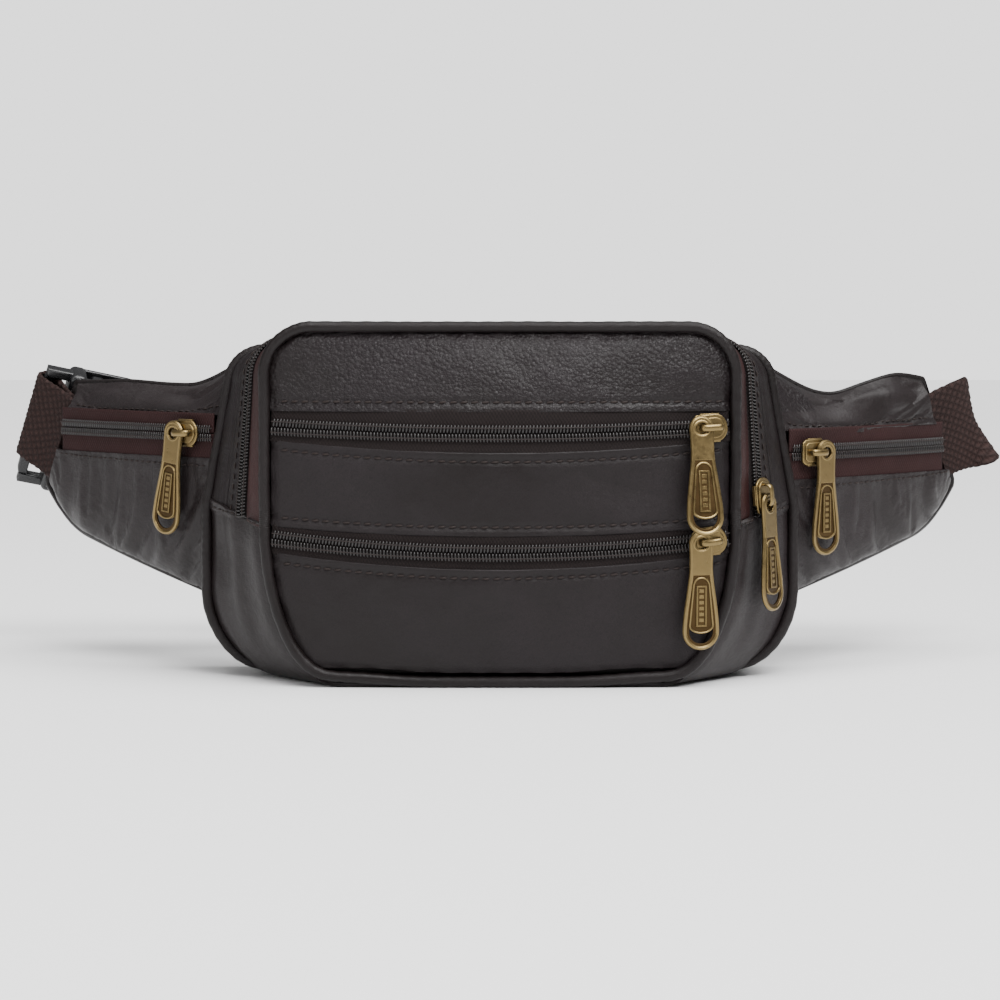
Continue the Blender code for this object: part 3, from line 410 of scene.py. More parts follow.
def front_y(x, z):
    """The swollen front wall."""
    mid = 70.0
    half = FRONT_RIM["top_z"] - mid if z > mid else mid - FRONT_RIM["bottom_z"]
    share = max(0.0, 1.0 - (abs(z - mid) / half) ** 3.5)
    width = max(1.0, rim_half_width(FRONT_RIM, z))
    return Y_FRONT - FRONT_BULGE * share * max(0.0, 1.0 - (x / width) ** 2)


def gusset(s, v, lift=0.0):
    """Ruled surface from the front rim (v=0) to the ridge (v=1), moved in by lift."""
    front = rim_point(inset_rim(FRONT_RIM, lift), s, Y_FRONT)
    ridge = rim_point(inset_rim(RIDGE_RIM, lift), s, Y_RIDGE)
    return front.lerp(ridge, v)


def lip(pair):
    """Height of a lip over X from its heights in the middle and at the sides."""
    half = FRONT_RIM["waist"][0]
    return lambda x: pair[0] + (pair[1] - pair[0]) * (x / half) ** 2


def back_y(x):
    return Y_BACK + WING_SWEEP * max(0.0, abs(x) - WING_SWEEP_X) ** 2


def top_z(x):
    body, wing = RIDGE_RIM["top_z"], 112.0
    return body + (wing - body) * smooth(abs(x), 86.0, 124.0)


def top_edge(x):
    """Upper edge as it falls: the right wing dips beside the body and swells near its tip."""
    if x <= 0.0:
        return top_z(x) + 1.2 * exp(-((x + 150.0) / 14.0) ** 2)
    dip, swell = exp(-((x - 131.0) / 11.0) ** 2), exp(-((x - 160.0) / 12.0) ** 2)
    return top_z(x) - 3.6 * dip + 3.2 * swell


def bottom_z(x):
    x = abs(x)
    if x <= RIDGE_RIM["bottom_x"]:
        return 0.0
    lx, lz = RIDGE_RIM["low"]
    wing = 30.0 + 0.385 * (x - lx) + 7.0 * (max(0.0, x - 168.0) / 14.0) ** 2
    if x >= lx:
        return wing
    share = (x - RIDGE_RIM["bottom_x"]) / (lx - RIDGE_RIM["bottom_x"])
    return min(wing, lz * (1.0 - sqrt(1.0 - share * share)))


def tip_x(z):
    (tx, tz), (mx, mz), (lx, lz) = WING_TIP_TOP, WING_TIP_MID, WING_TIP_LOW
    if z >= mz:
        return mx + (tx - mx) * (z - mz) / (tz - mz)
    return mx - (mx - lx) * min(1.0, (mz - z) / (mz - lz)) ** 2


def wing_front_y(x, z):
    arc_y = WING_ARC_CENTRE[1] - sqrt(WING_ARC_R ** 2 - (abs(x) - WING_ARC_CENTRE[0]) ** 2)
    inner = back_y(x) - PADDING - GAP - LEATHER - 0.5
    height = (z - bottom_z(x)) / (top_z(x) - bottom_z(x))
    section = sqrt(max(0.0, 1.0 - abs(2.0 * height - 1.0) ** 4))
    return inner - max(2.0, inner - arc_y) * section


def wing_x(u, z, root_gap=SEAM):
    root = rim_half_width(RIDGE_RIM, z) + root_gap
    return root + (tip_x(z) - root) * u


class ZipArc:
    """A zip along a circle; across runs over the tape, out stands off the surface."""

    def __init__(self, centre, radius, axis, forward, cone=0.0):
        self.centre = Vector(centre)
        self.radius = radius
        self.axis = Vector(axis).normalized()
        self.forward = Vector(forward).normalized()
        self.side = self.axis.cross(self.forward)
        self.cone = cone

    def frame(self, angle):
        radial = self.forward * cos(angle) + self.side * sin(angle)
        along = self.side * cos(angle) - self.forward * sin(angle)
        across = self.axis * cos(self.cone) + radial * sin(self.cone)
        outward = radial * cos(self.cone) - self.axis * sin(self.cone)
        return radial, along, across, outward

    def at(self, angle, across=0.0, out=0.0):
        radial, _, cross, normal = self.frame(angle)
        return self.centre + radial * self.radius + cross * across + normal * out

    def angle_at_x(self, x):
        low, high = -1.2, 1.2
        rising = self.at(high).x > self.at(low).x
        for _ in range(50):
            mid = (low + high) / 2
            if (self.at(mid).x < x) == rising:
                low = mid
            else:
                high = mid
        return (low + high) / 2


def front_zip_arc(spec):
    half = FRONT_RIM["corner"][0]
    swell = Y_FRONT - front_y(0.0, spec["mid"])
    sag = spec["side"] - spec["mid"]
    rise = hypot(swell, sag)
    radius = (half * half + rise * rise) / (2 * rise)
    tilt = atan2(sag, swell)
    forward = Vector((0.0, -cos(tilt), -sin(tilt)))
    axis = Vector((0.0, -sin(tilt), cos(tilt)))
    middle = Vector((0.0, Y_FRONT - swell, spec["mid"]))
    return ZipArc(middle - forward * radius, radius, axis, forward,
                  -tilt - radians(spec["slope"]))


def wing_zip_arc(side, z):
    centre = (side * WING_ARC_CENTRE[0], WING_ARC_CENTRE[1], z)
    start = asin((WING_SLIDER_X - WING_ARC_CENTRE[0]) / WING_ARC_R)
    forward = (side * sin(start), -cos(start), 0.0)
    return ZipArc(centre, WING_ARC_R, (0.0, 0.0, 1.0), forward)


# ---------------------------------------------------------------- mesh helpers

def wave(p, scale, seed=0.0):
    """Smooth noise about 0, at a point in millimetres."""
    return noise.noise(Vector((p[0] * scale + seed, p[1] * scale - seed,
                               p[2] * scale + seed * 0.7)))


def link(name, mesh, mat=None):
    obj = bpy.data.objects.new(name, mesh)
    bpy.context.scene.collection.objects.link(obj)
    if mat:
        mesh.materials.append(mat)
    return obj


def mesh_from(name, points, faces, mat, sharp=45.0, scale=MM):
    mesh = bpy.data.meshes.new(name)
    mesh.from_pydata([tuple(Vector(p) * scale) for p in points], [], faces)
    mesh.validate()
    mesh.shade_smooth()
    mesh.set_sharp_from_angle(angle=radians(sharp))
    return link(name, mesh, mat)


def recalc(obj):
    bm = bmesh.new()
    bm.from_mesh(obj.data)
    bmesh.ops.recalc_face_normals(bm, faces=bm.faces)
    bm.to_mesh(obj.data)
    bm.free()


def place_on(obj, nodes=(), body="bag"):
    """Hang a piece on its body and the CAD nodes that it stands for."""
    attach(obj, body)
    if nodes:
        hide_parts(*nodes)
    return obj


def grid_faces(cols, rows):
    return [(i * rows + j, (i + 1) * rows + j, (i + 1) * rows + j + 1, i * rows + j + 1)
            for i in range(cols - 1) for j in range(rows - 1)]


class Skin:
    """A grid of surface points, moved along its normals by detail(u, t, point)."""

    def __init__(self, surface, cols, rows, detail=None, flip=False):
        self.cols, self.rows = cols, rows
        self.p = [[surface(i / (cols - 1), j / (rows - 1)) for j in range(rows)]
                  for i in range(cols)]
        self.flip = flip
        self.n = self.normals()
        if detail:
            for i in range(cols):
                for j in range(rows):
                    d = detail(i / (cols - 1), j / (rows - 1), self.p[i][j])
                    self.p[i][j] = self.p[i][j] + self.n[i][j] * d
            self.n = self.normals()

    def normals(self):
        out = []
        for i in range(self.cols):
            line = []
            for j in range(self.rows):
                du = self.p[min(i + 1, self.cols - 1)][j] - self.p[max(i - 1, 0)][j]
                dv = self.p[i][min(j + 1, self.rows - 1)] - self.p[i][max(j - 1, 0)]
                n = du.cross(dv)
                n = n.normalized() if n.length > 1e-9 else -REAR
                line.append(-n if self.flip else n)
            out.append(line)
        return out

    def at(self, u, t, lift=0.0):
        x, y = u * (self.cols - 1), t * (self.rows - 1)
        i, j = min(int(x), self.cols - 2), min(int(y), self.rows - 2)
        fx, fy = x - i, y - j

        def lerp(grid):
            low = grid[i][j].lerp(grid[i + 1][j], fx)
            high = grid[i][j + 1].lerp(grid[i + 1][j + 1], fx)
            return low.lerp(high, fy)
        return lerp(self.p) + lerp(self.n).normalized() * lift

    def solid(self, name, thickness, mat, bevel=0.45, sharp=50.0):
        """A closed piece with rounded edges, and a UV map in metres."""
        points = [p for line in self.p for p in line]
        faces = [tuple(reversed(face)) if self.flip else face
                 for face in grid_faces(self.cols, self.rows)]
        obj = mesh_from(name, points, faces, mat, sharp)
        self.uv(obj)
        solid = obj.modifiers.new("thickness", "SOLIDIFY")
        solid.thickness = thickness * MM
        solid.offset = -1.0
        if bevel:
            edge = obj.modifiers.new("edge", "BEVEL")
            edge.width = thickness * bevel * MM
            edge.segments = 3
            edge.limit_method = "ANGLE"
            edge.angle_limit = radians(55.0)
        return obj

    def uv(self, obj):
        along, across = [0.0], [0.0]
        mid_j, mid_i = self.rows // 2, self.cols // 2
        for i in range(1, self.cols):
            along.append(along[-1] + (self.p[i][mid_j] - self.p[i - 1][mid_j]).length * MM)
        for j in range(1, self.rows):
            across.append(across[-1] + (self.p[mid_i][j] - self.p[mid_i][j - 1]).length * MM)
        layer = obj.data.uv_layers.new(name="UVMap")
        for loop in obj.data.loops:
            i, j = divmod(loop.vertex_index, self.rows)
            layer.data[loop.index].uv = (along[i], across[j])


def capsule_into(points, faces, middle, along, up, half, radius, sides=6, arch=0.0):
    """Add one small capsule, arched by arch, to a mesh in the making."""
    side = along.cross(up).normalized()
    start = len(points)
    steps = (-1.0, -0.85, -0.45, 0.0, 0.45, 0.85, 1.0)
    girths = (0.15, 0.72, 1.0, 1.05, 1.0, 0.72, 0.15)
    for step, girth in zip(steps, girths):
        centre = middle + along * (step * half) + up * (arch * (1.0 - step * step))
        for k in range(sides):
            a = tau * k / sides
            points.append(centre + (side * cos(a) + up * sin(a)) * (radius * girth))
    faces += tube_faces(len(steps), sides, start)
    faces.append(tuple(start + k for k in reversed(range(sides))))
    last = start + (len(steps) - 1) * sides
    faces.append(tuple(last + k for k in range(sides)))


def walk(path, step):
    """Points every step along a list of (point, up) pairs, with direction and up."""
    out = []
    left = step * 0.5
    for (a, up_a), (b, up_b) in zip(path, path[1:]):
        run = (b - a).length
        if run < 1e-9:
            continue
        while left <= run:
            f = left / run
            out.append((a.lerp(b, f), (b - a).normalized(), up_a.lerp(up_b, f).normalized()))
            left += step
        left -= run
    return out


def stitch_row(name, path, pitch=STITCH_PITCH, length=STITCH_LENGTH, radius=STITCH_R):
    """A row of stitches along a path of (point, up) pairs."""
    points, faces = [], []
    rng = random.Random(len(path) + int(path[0][0].z * 10))
    for p, along, up in walk(path, pitch):
        turn = Matrix.Rotation(rng.uniform(-0.06, 0.06) + 0.10, 3, up)
        capsule_into(points, faces, p, turn @ along, up, length / 2, radius, arch=0.18)
    obj = mesh_from(name, points, faces, MAT["thread"], 80.0)
    recalc(obj)
    place_on(obj)


def skin_path(skin, line, count=240, lift=0.05):
    """A path of (point, up) pairs over a skin, along line(k) -> (u, t) for k from 0 to 1."""
    path = []
    for i in range(count):
        u, t = line(i / (count - 1))
        path.append((skin.at(u, t, lift), skin.at(u, t, 1.0) - skin.at(u, t, 0.0)))
    return path


def ring(centre, side, up, wide, tall, sides):
    """Points round a centre, for one section of a tube."""
    return [centre + side * (wide * cos(a)) + up * (tall * sin(a))
            for a in (tau * k / sides for k in range(sides))]


def tube_faces(rings, sides, start=0, closed=False):
    """Faces between rings of points that follow each other, and back to the first if closed."""
    total = rings * sides
    faces = []
    for i in range(rings if closed else rings - 1):
        for k in range(sides):
            a, b = i * sides + k, i * sides + (k + 1) % sides
            c, d = (a + sides) % total, (b + sides) % total
            faces.append((start + a, start + b, start + d, start + c))
    return faces


def tube_mesh(name, path, radius_at, mat, sides=14, closed=False):
    """A tube along (point, up) pairs; radius_at(k) gives (across, along up) half sizes."""
    count = len(path)
    points = []
    for i, (p, up) in enumerate(path):
        before = path[(i - 1) % count if closed else max(i - 1, 0)][0]
        after = path[(i + 1) % count if closed else min(i + 1, count - 1)][0]
        run = (after - before).normalized()
        side = run.cross(up).normalized()
        top = side.cross(run).normalized()
        wide, tall = radius_at(i / max(1, count - 1))
        points += ring(p, side, top, wide, tall, sides)
    faces = tube_faces(count, sides, 0, closed)
    if not closed:
        faces.append(tuple(range(sides)))
        faces.append(tuple(range((count - 1) * sides, count * sides)))
    obj = mesh_from(name, points, faces, mat, 70.0)
    recalc(obj)
    return obj


def assemble(name, parts, placed, mat, scale=MM):
    """One piece from (points, faces) parts, each point put in its place by placed(p)."""
    points, faces = [], []
    for part_points, part_faces in parts:
        start = len(points)
        points += [placed(p) for p in part_points]
        faces += [tuple(start + i for i in face) for face in part_faces]
    obj = mesh_from(name, points, faces, mat, 40.0, scale)
    recalc(obj)
    return obj


def rounded_copy(node, name, width, mat, segments=3):
    """The CAD node's own shape with its edges rounded."""
    mesh = frame["nodes"][node].data.copy()
    mesh.materials.clear()
    bm = bmesh.new()
    bm.from_mesh(mesh)
    bmesh.ops.remove_doubles(bm, verts=bm.verts, dist=1e-6)
    bmesh.ops.dissolve_limit(bm, angle_limit=radians(3.0), verts=bm.verts, edges=bm.edges)
    bm.to_mesh(mesh)
    bm.free()
    mesh.shade_smooth()
    mesh.set_sharp_from_angle(angle=radians(40.0))
    obj = link(name, mesh, mat)
    edge = obj.modifiers.new("edge", "BEVEL")
    edge.width = width * MM
    edge.segments = segments
    edge.limit_method = "ANGLE"
    edge.angle_limit = radians(35.0)
    edge.harden_normals = False
    return obj


# ---------------------------------------------------------------- front wall

def front_patch(u, t, z_low, z_high, rim):
    x = (2.0 * u - 1.0) * rim["waist"][0]
    z = z_low(x) + (z_high(x) - z_low(x)) * t
    x = (2.0 * u - 1.0) * rim_half_width(rim, z)
    return Vector((x, front_y(x, z), z))


def lip_groove(distance, at=STITCH_IN, width=1.1, depth=0.45):
    """The hollow that a row of stitches pulls into the leather, and the swollen fold beyond it."""
    return -depth * exp(-((distance - at) / width) ** 2) + 0.16 * smooth(at - distance, 0.6, 2.4)


def front_panel(name, z_low, z_high, mat, rows, lips, wrinkle, seed):
    """One leather panel of the front wall. lips says which edges are turned over a zip."""
    rim = inset_rim(FRONT_RIM, SEAM - 1.0)
    reach = rim["waist"][0]

    def surface(u, t):
        return front_patch(u, t, z_low, z_high, rim)

    def detail(u, t, p):
        low, high = z_low(p.x), z_high(p.x)
        d = wrinkle * (wave(p, 0.045, seed) + 0.45 * wave(p, 0.11, seed + 3.0))
        inside = rim_half_width(rim, p.z) - abs(p.x)
        seam = min(inside, p.z - low if not lips[0] else 99.0, high - p.z if not lips[1] else 99.0)
        d *= smooth(seam, 0.0, 14.0)
        pucker = 0.5 + 0.5 * sin((p.x + p.z) * 0.55 + 2.0 * wave(p, 0.05, seed + 9.0))
        d -= (0.9 + 0.35 * pucker) * (1.0 - smooth(seam, 0.0, 4.2))
        if lips[0]:
            d += lip_groove(p.z - low)
        if lips[1]:
            d += lip_groove(high - p.z)
        return d

    skin = Skin(surface, 150, rows, detail)
    obj = skin.solid(name, LEATHER, mat)
    height = z_high(0.0) - z_low(0.0)
    for k, (wanted, edge) in enumerate(zip(lips, (0.0, 1.0))):
        if wanted:
            t = abs(edge - STITCH_IN / height)
            inset = 0.5 * 4.0 / reach

            def line(f, t=t):
                return inset + (1.0 - 2.0 * inset) * f, t
            stitch_row(f"{name}_stitches_{'low' if edge == 0.0 else 'high'}",
                       skin_path(skin, line))
    return obj


def build_front_wall():
    """Three leather panels between the zips, and the piping round them."""
    rim_top = FRONT_RIM["top_z"] - SEAM + 1.0

    def low_edge(x):
        return piping_height(Vector((x, 0.0, 0.0))) + SEAM

    low_zip, high_zip = ZIP_LOWER, ZIP_UPPER
    panels = (("top", lip(high_zip["lip_top"]), lambda x: rim_top, "pebbled", 40,
               (True, False), 0.55, 1.3),
              ("middle", lip(low_zip["lip_top"]), lip(high_zip["lip_low"]), "smooth", 44,
               (True, True), 0.4, 5.1),
              ("bottom", low_edge, lip(low_zip["lip_low"]), "smooth", 56,
               (False, True), 0.7, 8.4))
    for name, low, high, mat, rows, lips, wrinkle, seed in panels:
        panel = front_panel(f"front_{name}_leather", low, high, MAT[mat], rows, lips, wrinkle, seed)
        place_on(panel, [f"front_panel_{name}"])
    build_piping("front_piping_leather", "front_piping", FRONT_RIM, Y_FRONT)


def piping_height(p):
    """Height of a piping's centre line: on the ground in the middle, easing up to the corners."""
    ease = 5.5 * smooth(abs(p.x), 18.0, 64.0)
    over = p.z - PIPING_LOW
    return PIPING_LOW + 0.5 * (over + sqrt(over * over + ease * ease))


def build_piping(name, node, rim, y):
    """Piping along a rim, pulled a little thin at each stitch of its seam."""
    count = 420
    path = []
    for i in range(count):
        p = rim_point(rim, -RIM_ROUND + 2.0 * RIM_ROUND * i / count, y)
        p.z = piping_height(p)
        p += Vector((wave(p, 0.09, 2.0), 0.6 * wave(p, 0.09, 7.0), 0.0)) * 0.25
        path.append((p, -REAR))

    def radius(k):
        wobble = 1.0 + 0.035 * sin(k * 700.0) + 0.05 * noise.noise(Vector((k * 40.0, 1.0, 2.0)))
        return PIPING_R * wobble, PIPING_R * 0.98 * wobble

    obj = tube_mesh(name, path, radius, MAT["piping"], 16, True)
    return place_on(obj, [node])


# ---------------------------------------------------------------- zips

def coil(name, frames, nodes):
    """Two rows of nylon coil, a tooth each side in turn, with the cord sewn along each row."""
    points, faces = [], []
    for k, (p, along, across, out) in enumerate(frames):
        side = 1.0 if k % 2 else -1.0
        lean = (across * side + along * 0.12).normalized()
        middle = p + across * (side * 1.62) + out * 0.42
        capsule_into(points, faces, middle, lean, out, 1.62, 0.40, sides=6, arch=0.22)
    obj = mesh_from(name, points, faces, MAT["coil"], 80.0)
    recalc(obj)
    place_on(obj, nodes)
    for row, side in (("a", -1.0), ("b", 1.0)):
        points, faces = [], []
        for k, (p, along, across, out) in enumerate(frames[::2]):
            middle = p + across * (side * 2.05) + out * 0.86 + along * 0.3
            capsule_into(points, faces, middle, along, out, 0.92, 0.26, sides=5, arch=0.06)
        cord = mesh_from(f"{name}_cord_{row}", points, faces, MAT["cord"], 80.0)
        recalc(cord)
        place_on(cord)


def arc_frames(arc, x_ends, pitch=TOOTH_PITCH / 2):
    start, end = arc.angle_at_x(x_ends[0]), arc.angle_at_x(x_ends[1])
    count = int(abs(end - start) * arc.radius / pitch)
    frames = []
    for i in range(count):
        angle = start + (end - start) * (i + 0.5) / count
        _, along, across, out = arc.frame(angle)
        frames.append((arc.at(angle), along, across, out))
    return frames


def arc_tape(name, arc, x_ends, inner, outer, mat, node, wrinkle=0.15):
    start, end = arc.angle_at_x(x_ends[0]), arc.angle_at_x(x_ends[1])

    def surface(u, t):
        angle = start + (end - start) * u
        lo, hi = inner(angle), outer(angle)
        return arc.at(angle, lo + (hi - lo) * t, TAPE_SINK)

    def detail(u, t, p):
        return wrinkle * wave(p, 0.10, 4.0) * sin(pi * t)

    probe = Skin(surface, 5, 3)
    out = arc.frame((start + end) / 2)[3]
    flip = probe.n[2][1].dot(out) < 0
    skin = Skin(surface, 90, 10, detail, flip)
    place_on(skin.solid(name, TAPE, mat, 0.0), [node])


def build_front_zip(prefix, spec):
    arc = front_zip_arc(spec)
    reach = FRONT_RIM["waist"][0] - SEAM + 0.4
    upright = cos(radians(spec["slope"]))

    def to_lip(pair, gap):
        height = lip(pair)
        return lambda a: (height(arc.at(a).x) + gap - arc.at(a).z) / upright

    ends = (-reach, reach)
    # Both tapes take the near-black tape colour: painted shade of the zip's recess, on a tape that
    # is itself burgundy.
    arc_tape(f"{prefix}_cloth_upper", arc, ends, lambda a: 0.15, to_lip(spec["lip_top"], 0.9),
             MAT["tape_painted_shade"], f"{prefix}_tape_upper")
    arc_tape(f"{prefix}_cloth_lower", arc, ends, to_lip(spec["lip_low"], -0.9), lambda a: -0.15,
             MAT["tape_painted_shade"], f"{prefix}_tape_lower")
    coil(f"{prefix}_coil", arc_frames(arc, (-reach + 0.6, reach - 0.6)), [f"{prefix}_teeth"])


# ---------------------------------------------------------------- sliders and pulls

PULL_L, PULL_BULB, PULL_NECK = 45.0, 14.3, 9.6
PULL_LOW = PULL_L - PULL_NECK / 2 - PULL_BULB / 2


def arc_points(cx, cy, rx, ry, start, sweep, steps, last=1):
    """Points of an arc of an ellipse, without its last point if last is 0."""
    return [(cx + rx * cos(a), cy + ry * sin(a))
            for a in (start + sweep * i / steps for i in range(steps + last))]


def pull_outline(inset=0.0, steps=22):
    """Teardrop outline, inset by a distance, from a spline through its half widths."""
    head, bulb = PULL_NECK / 2 - inset, PULL_BULB / 2 - inset
    points = arc_points(0.0, 0.0, head, head, 0.0, pi, steps)
    sides = []
    for i in range(1, 14):
        f = i / 14
        width = head * (1.0 - 0.06 * sin(pi * min(1.0, f * 2.0)))
        width = width + (bulb - width) * smooth(f, 0.28, 1.0)
        sides.append((width, -PULL_LOW * f))
    points += [(-w, y) for w, y in sides]
    points += arc_points(0.0, -PULL_LOW, bulb, bulb, pi, pi, steps)
    points += [(w, y) for w, y in reversed(sides)]
    return points


def eye_outline(grow=0.0, steps=24):
    return arc_points(0.0, -0.1, 2.55 + grow, 2.35 + grow, 0.0, tau, steps, 0)


def finger_hole(inset=2.35, rise=1.6, dip=1.9, steps=24):
    """Crescent in the bulb: round below, and pushed down above by the label's round foot."""
    radius = PULL_BULB / 2 - inset
    start = asin(rise / radius)
    points = arc_points(0.0, -PULL_LOW, radius, radius, start, -(pi + 2.0 * start), steps)
    reach = radius * cos(start)
    for i in range(1, 10):
        x = -reach + 2.0 * reach * i / 10
        points.append((x, -PULL_LOW + rise - dip * (1.0 - (x / reach) ** 2)))
    return points


def oval(y_high, y_low, wide_high, wide_low, steps=12):
    """Long oval that widens downwards."""
    low = wide_low * 0.6
    return (arc_points(0.0, y_high - wide_high, wide_high, wide_high, 0.0, pi, steps)
            + arc_points(0.0, y_low + low, wide_low, low, pi, pi, steps))


def rectangle(x, y_high, y_low):
    return [(-x, y_high), (x, y_high), (x, y_low), (-x, y_low)]


def flat_part(loops, z_mid, half, bevel):
    """A flat piece with holes and bevelled edges, as points and faces, from closed outlines."""
    curve = bpy.data.curves.new("flat", "CURVE")
    curve.dimensions = "2D"
    curve.fill_mode = "BOTH"
    curve.extrude = half - bevel
    curve.bevel_depth = bevel
    curve.bevel_resolution = 2
    for loop in loops:
        spline = curve.splines.new("POLY")
        spline.points.add(len(loop) - 1)
        for knot, (x, y) in zip(spline.points, loop):
            knot.co = (x, y, 0.0, 1.0)
        spline.use_cyclic_u = True
    obj = link("flat", curve)
    depsgraph = bpy.context.evaluated_depsgraph_get()
    mesh = bpy.data.meshes.new_from_object(obj.evaluated_get(depsgraph), depsgraph=depsgraph)
    points = [v.co + Vector((0.0, 0.0, z_mid)) for v in mesh.vertices]
    faces = [tuple(p.vertices) for p in mesh.polygons]
    bpy.data.objects.remove(obj)
    return points, faces


def ring_part(loop, z, radius, sides=8):
    """A round wire along a closed outline."""
    count = len(loop)
    points = []
    for i in range(count):
        p = Vector((*loop[i], z))
        run = Vector((*loop[(i + 1) % count], z)) - Vector((*loop[i - 1], z))
        points += ring(p, run.normalized().cross(UP), UP, radius, radius, sides)
    return points, tube_faces(count, sides, 0, True)


def pull_parts():
    """Worn parts (neck, rims, label frame) and hollow, stained parts of a pull."""
    outline = pull_outline(0.4)
    neck = [(x, max(y, -12.2)) for x, y in outline if y > -13.5]
    worn = [flat_part([neck, eye_outline()], 0.0, 0.78, 0.22),
            ring_part(pull_outline(0.85), 0.0, 0.88),
            ring_part(eye_outline(0.5), 0.3, 0.62)]
    hollow = [flat_part([pull_outline(0.9), eye_outline(), finger_hole()], 0.0, 0.42, 0.1)]
    for z in (1.0, -1.0):
        worn.append(ring_part(oval(-12.9, -33.6, 3.1, 4.5), z * 0.52, 0.40))
        worn.append(flat_part([rectangle(1.9, -16.0, -31.2), rectangle(1.45, -16.45, -30.75)],
                              z * 0.6, 0.36, 0.12))
        hollow.append(flat_part([rectangle(1.7, -16.2, -31.0)], z * 0.45, 0.22, 0.05))
        for i in range(6):
            y = -17.3 - 2.2 * i
            worn.append(flat_part([rectangle(0.85, y, y - 1.15)], z * 0.68, 0.16, 0.07))
    return worn, hollow


PULL_PARTS = pull_parts()


def build_pull(node, joint_name):
    """A detailed pull, placed by its joint: it hangs from the joint's axis to its CAD solid."""
    joint = next(j for j in frame["joints"] if j["name"] == joint_name)
    eye = Vector(joint["pos_m"])
    outward = -Vector(joint["axis"]).normalized()
    vertices = frame["nodes"][node].data.vertices
    middle = sum((v.co for v in vertices), Vector()) / len(vertices)
    down = middle - eye
    down = (down - outward * down.dot(outward)).normalized()
    side = down.cross(outward)

    def placed(p):
        return eye + (side * p.x - down * p.y + outward * p.z) * MM

    for kind, parts in zip(("brass", "patina"), PULL_PARTS):
        obj = assemble(f"{node}_{kind}", parts, placed, MAT[kind], 1.0)
        place_on(obj, [node] if kind == "brass" else [], node)


SLIDER_L, SLIDER_W, SLIDER_T = 12.8, 9.6, 1.2
SLIDER_BASE, BRIDGE_H, LEG_X = 1.6, 3.2, 3.97


def slider_outline(half_l, half_w, steps=9):
    """Rounded at its front end, flat where it meets the coil behind."""
    points = [(half_l * 0.35 + half_l * 0.65 * sin(a), half_w * cos(a))
              for a in (pi * i / (2 * steps) for i in range(2 * steps + 1))]
    points += [(-half_l * 0.8, -half_w * 0.94), (-half_l, -half_w * 0.7),
               (-half_l, half_w * 0.7), (-half_l * 0.8, half_w * 0.94)]
    return points


def slider_parts():
    """Cap, crown, side skirts and bridge of a slider; x along the coil, z outward."""
    half_l, half_w = SLIDER_L / 2, SLIDER_W / 2
    top = SLIDER_BASE + SLIDER_T
    parts = [flat_part([slider_outline(half_l, half_w)], SLIDER_BASE + SLIDER_T / 2,
                       SLIDER_T / 2, 0.4),
             flat_part([slider_outline(half_l * 0.82, half_w * 0.74)], top + 0.1, 0.45, 0.4)]
    for side in (-1.0, 1.0):
        low, high = sorted((side * (half_w - 0.55), side * (half_w + 0.35)))
        skirt = [(-3.4, low), (3.6, low), (3.6, high), (-3.4, high)]
        parts.append(flat_part([skirt], 1.55, 0.7, 0.25))
    arch = []
    for i in range(25):
        a = pi * i / 24
        x, z = -cos(a), sin(a)
        x = copysign(abs(x) ** 0.45, x) * LEG_X
        arch.append((x, top - 0.2 + (BRIDGE_H + 0.5) * z ** 0.45))
    points = []
    sides = 10
    for i, (x, z) in enumerate(arch):
        before, after = arch[max(i - 1, 0)], arch[min(i + 1, len(arch) - 1)]
        run = Vector((after[0] - before[0], 0.0, after[1] - before[1])).normalized()
        points += ring(Vector((x, 0.0, z)), REAR, REAR.cross(run), 1.25, 0.6, sides)
    parts.append((points, tube_faces(len(arch), sides)))
    return parts


SLIDER_PARTS = slider_parts()


def build_slider(node, place):
    """A slider at (point, along, across) on its zip."""
    point, along, across = place
    outward = along.cross(across)

    def placed(p):
        return point + along * p.x + across * p.y + outward * p.z

    place_on(assemble(f"{node}_brass", SLIDER_PARTS, placed, MAT["brass"]), [node], node)


def arc_place(arc, angle):
    _, along, across, _ = arc.frame(angle)
    return arc.at(angle), along, across


def main_zip_place(z):
    """Point and directions of the main zip's chain on the right side, at a height."""
    low, high = gusset(3.0, MAIN_CHAIN), gusset(2.0, MAIN_CHAIN)
    share = (z - low.z) / (high.z - low.z)
    along = (high - low).normalized()
    across = gusset(3.0 - share, 0.0) - gusset(3.0 - share, 1.0)
    across = (across - along * across.dot(along)).normalized()
    return low.lerp(high, share), along, across


# ---------------------------------------------------------------- gusset and main zip

def seam_height(v):
    """Where the lower gusset's turned ends lie over the zip strips: low in front, higher behind."""
    return 61.5 + 8.5 * v


def s_at(v, z):
    """Place along the right side of the gusset at a height."""
    low, high = 2.5, 4.0
    for _ in range(30):
        mid = (low + high) / 2
        if gusset(mid, v).z > z:
            low = mid
        else:
            high = mid
    return low


def gusset_skin(v_range, cols, rows, detail=None, lift=0.0, under=False):
    """A strip over the top of the gusset, or the lower one that runs under the body."""
    def surface(u, t):
        v = v_range[0] + (v_range[1] - v_range[0]) * t
        if under:
            end = s_at(v, seam_height(v))
            s = under_to_rim(end + (2.0 * RIM_ROUND - 2.0 * end) * u)
        else:
            end = s_at(v, seam_height(v) - 1.8)
            s = (2.0 * u - 1.0) * end
        return gusset(s, v, lift)
    return Skin(surface, cols, rows, detail)


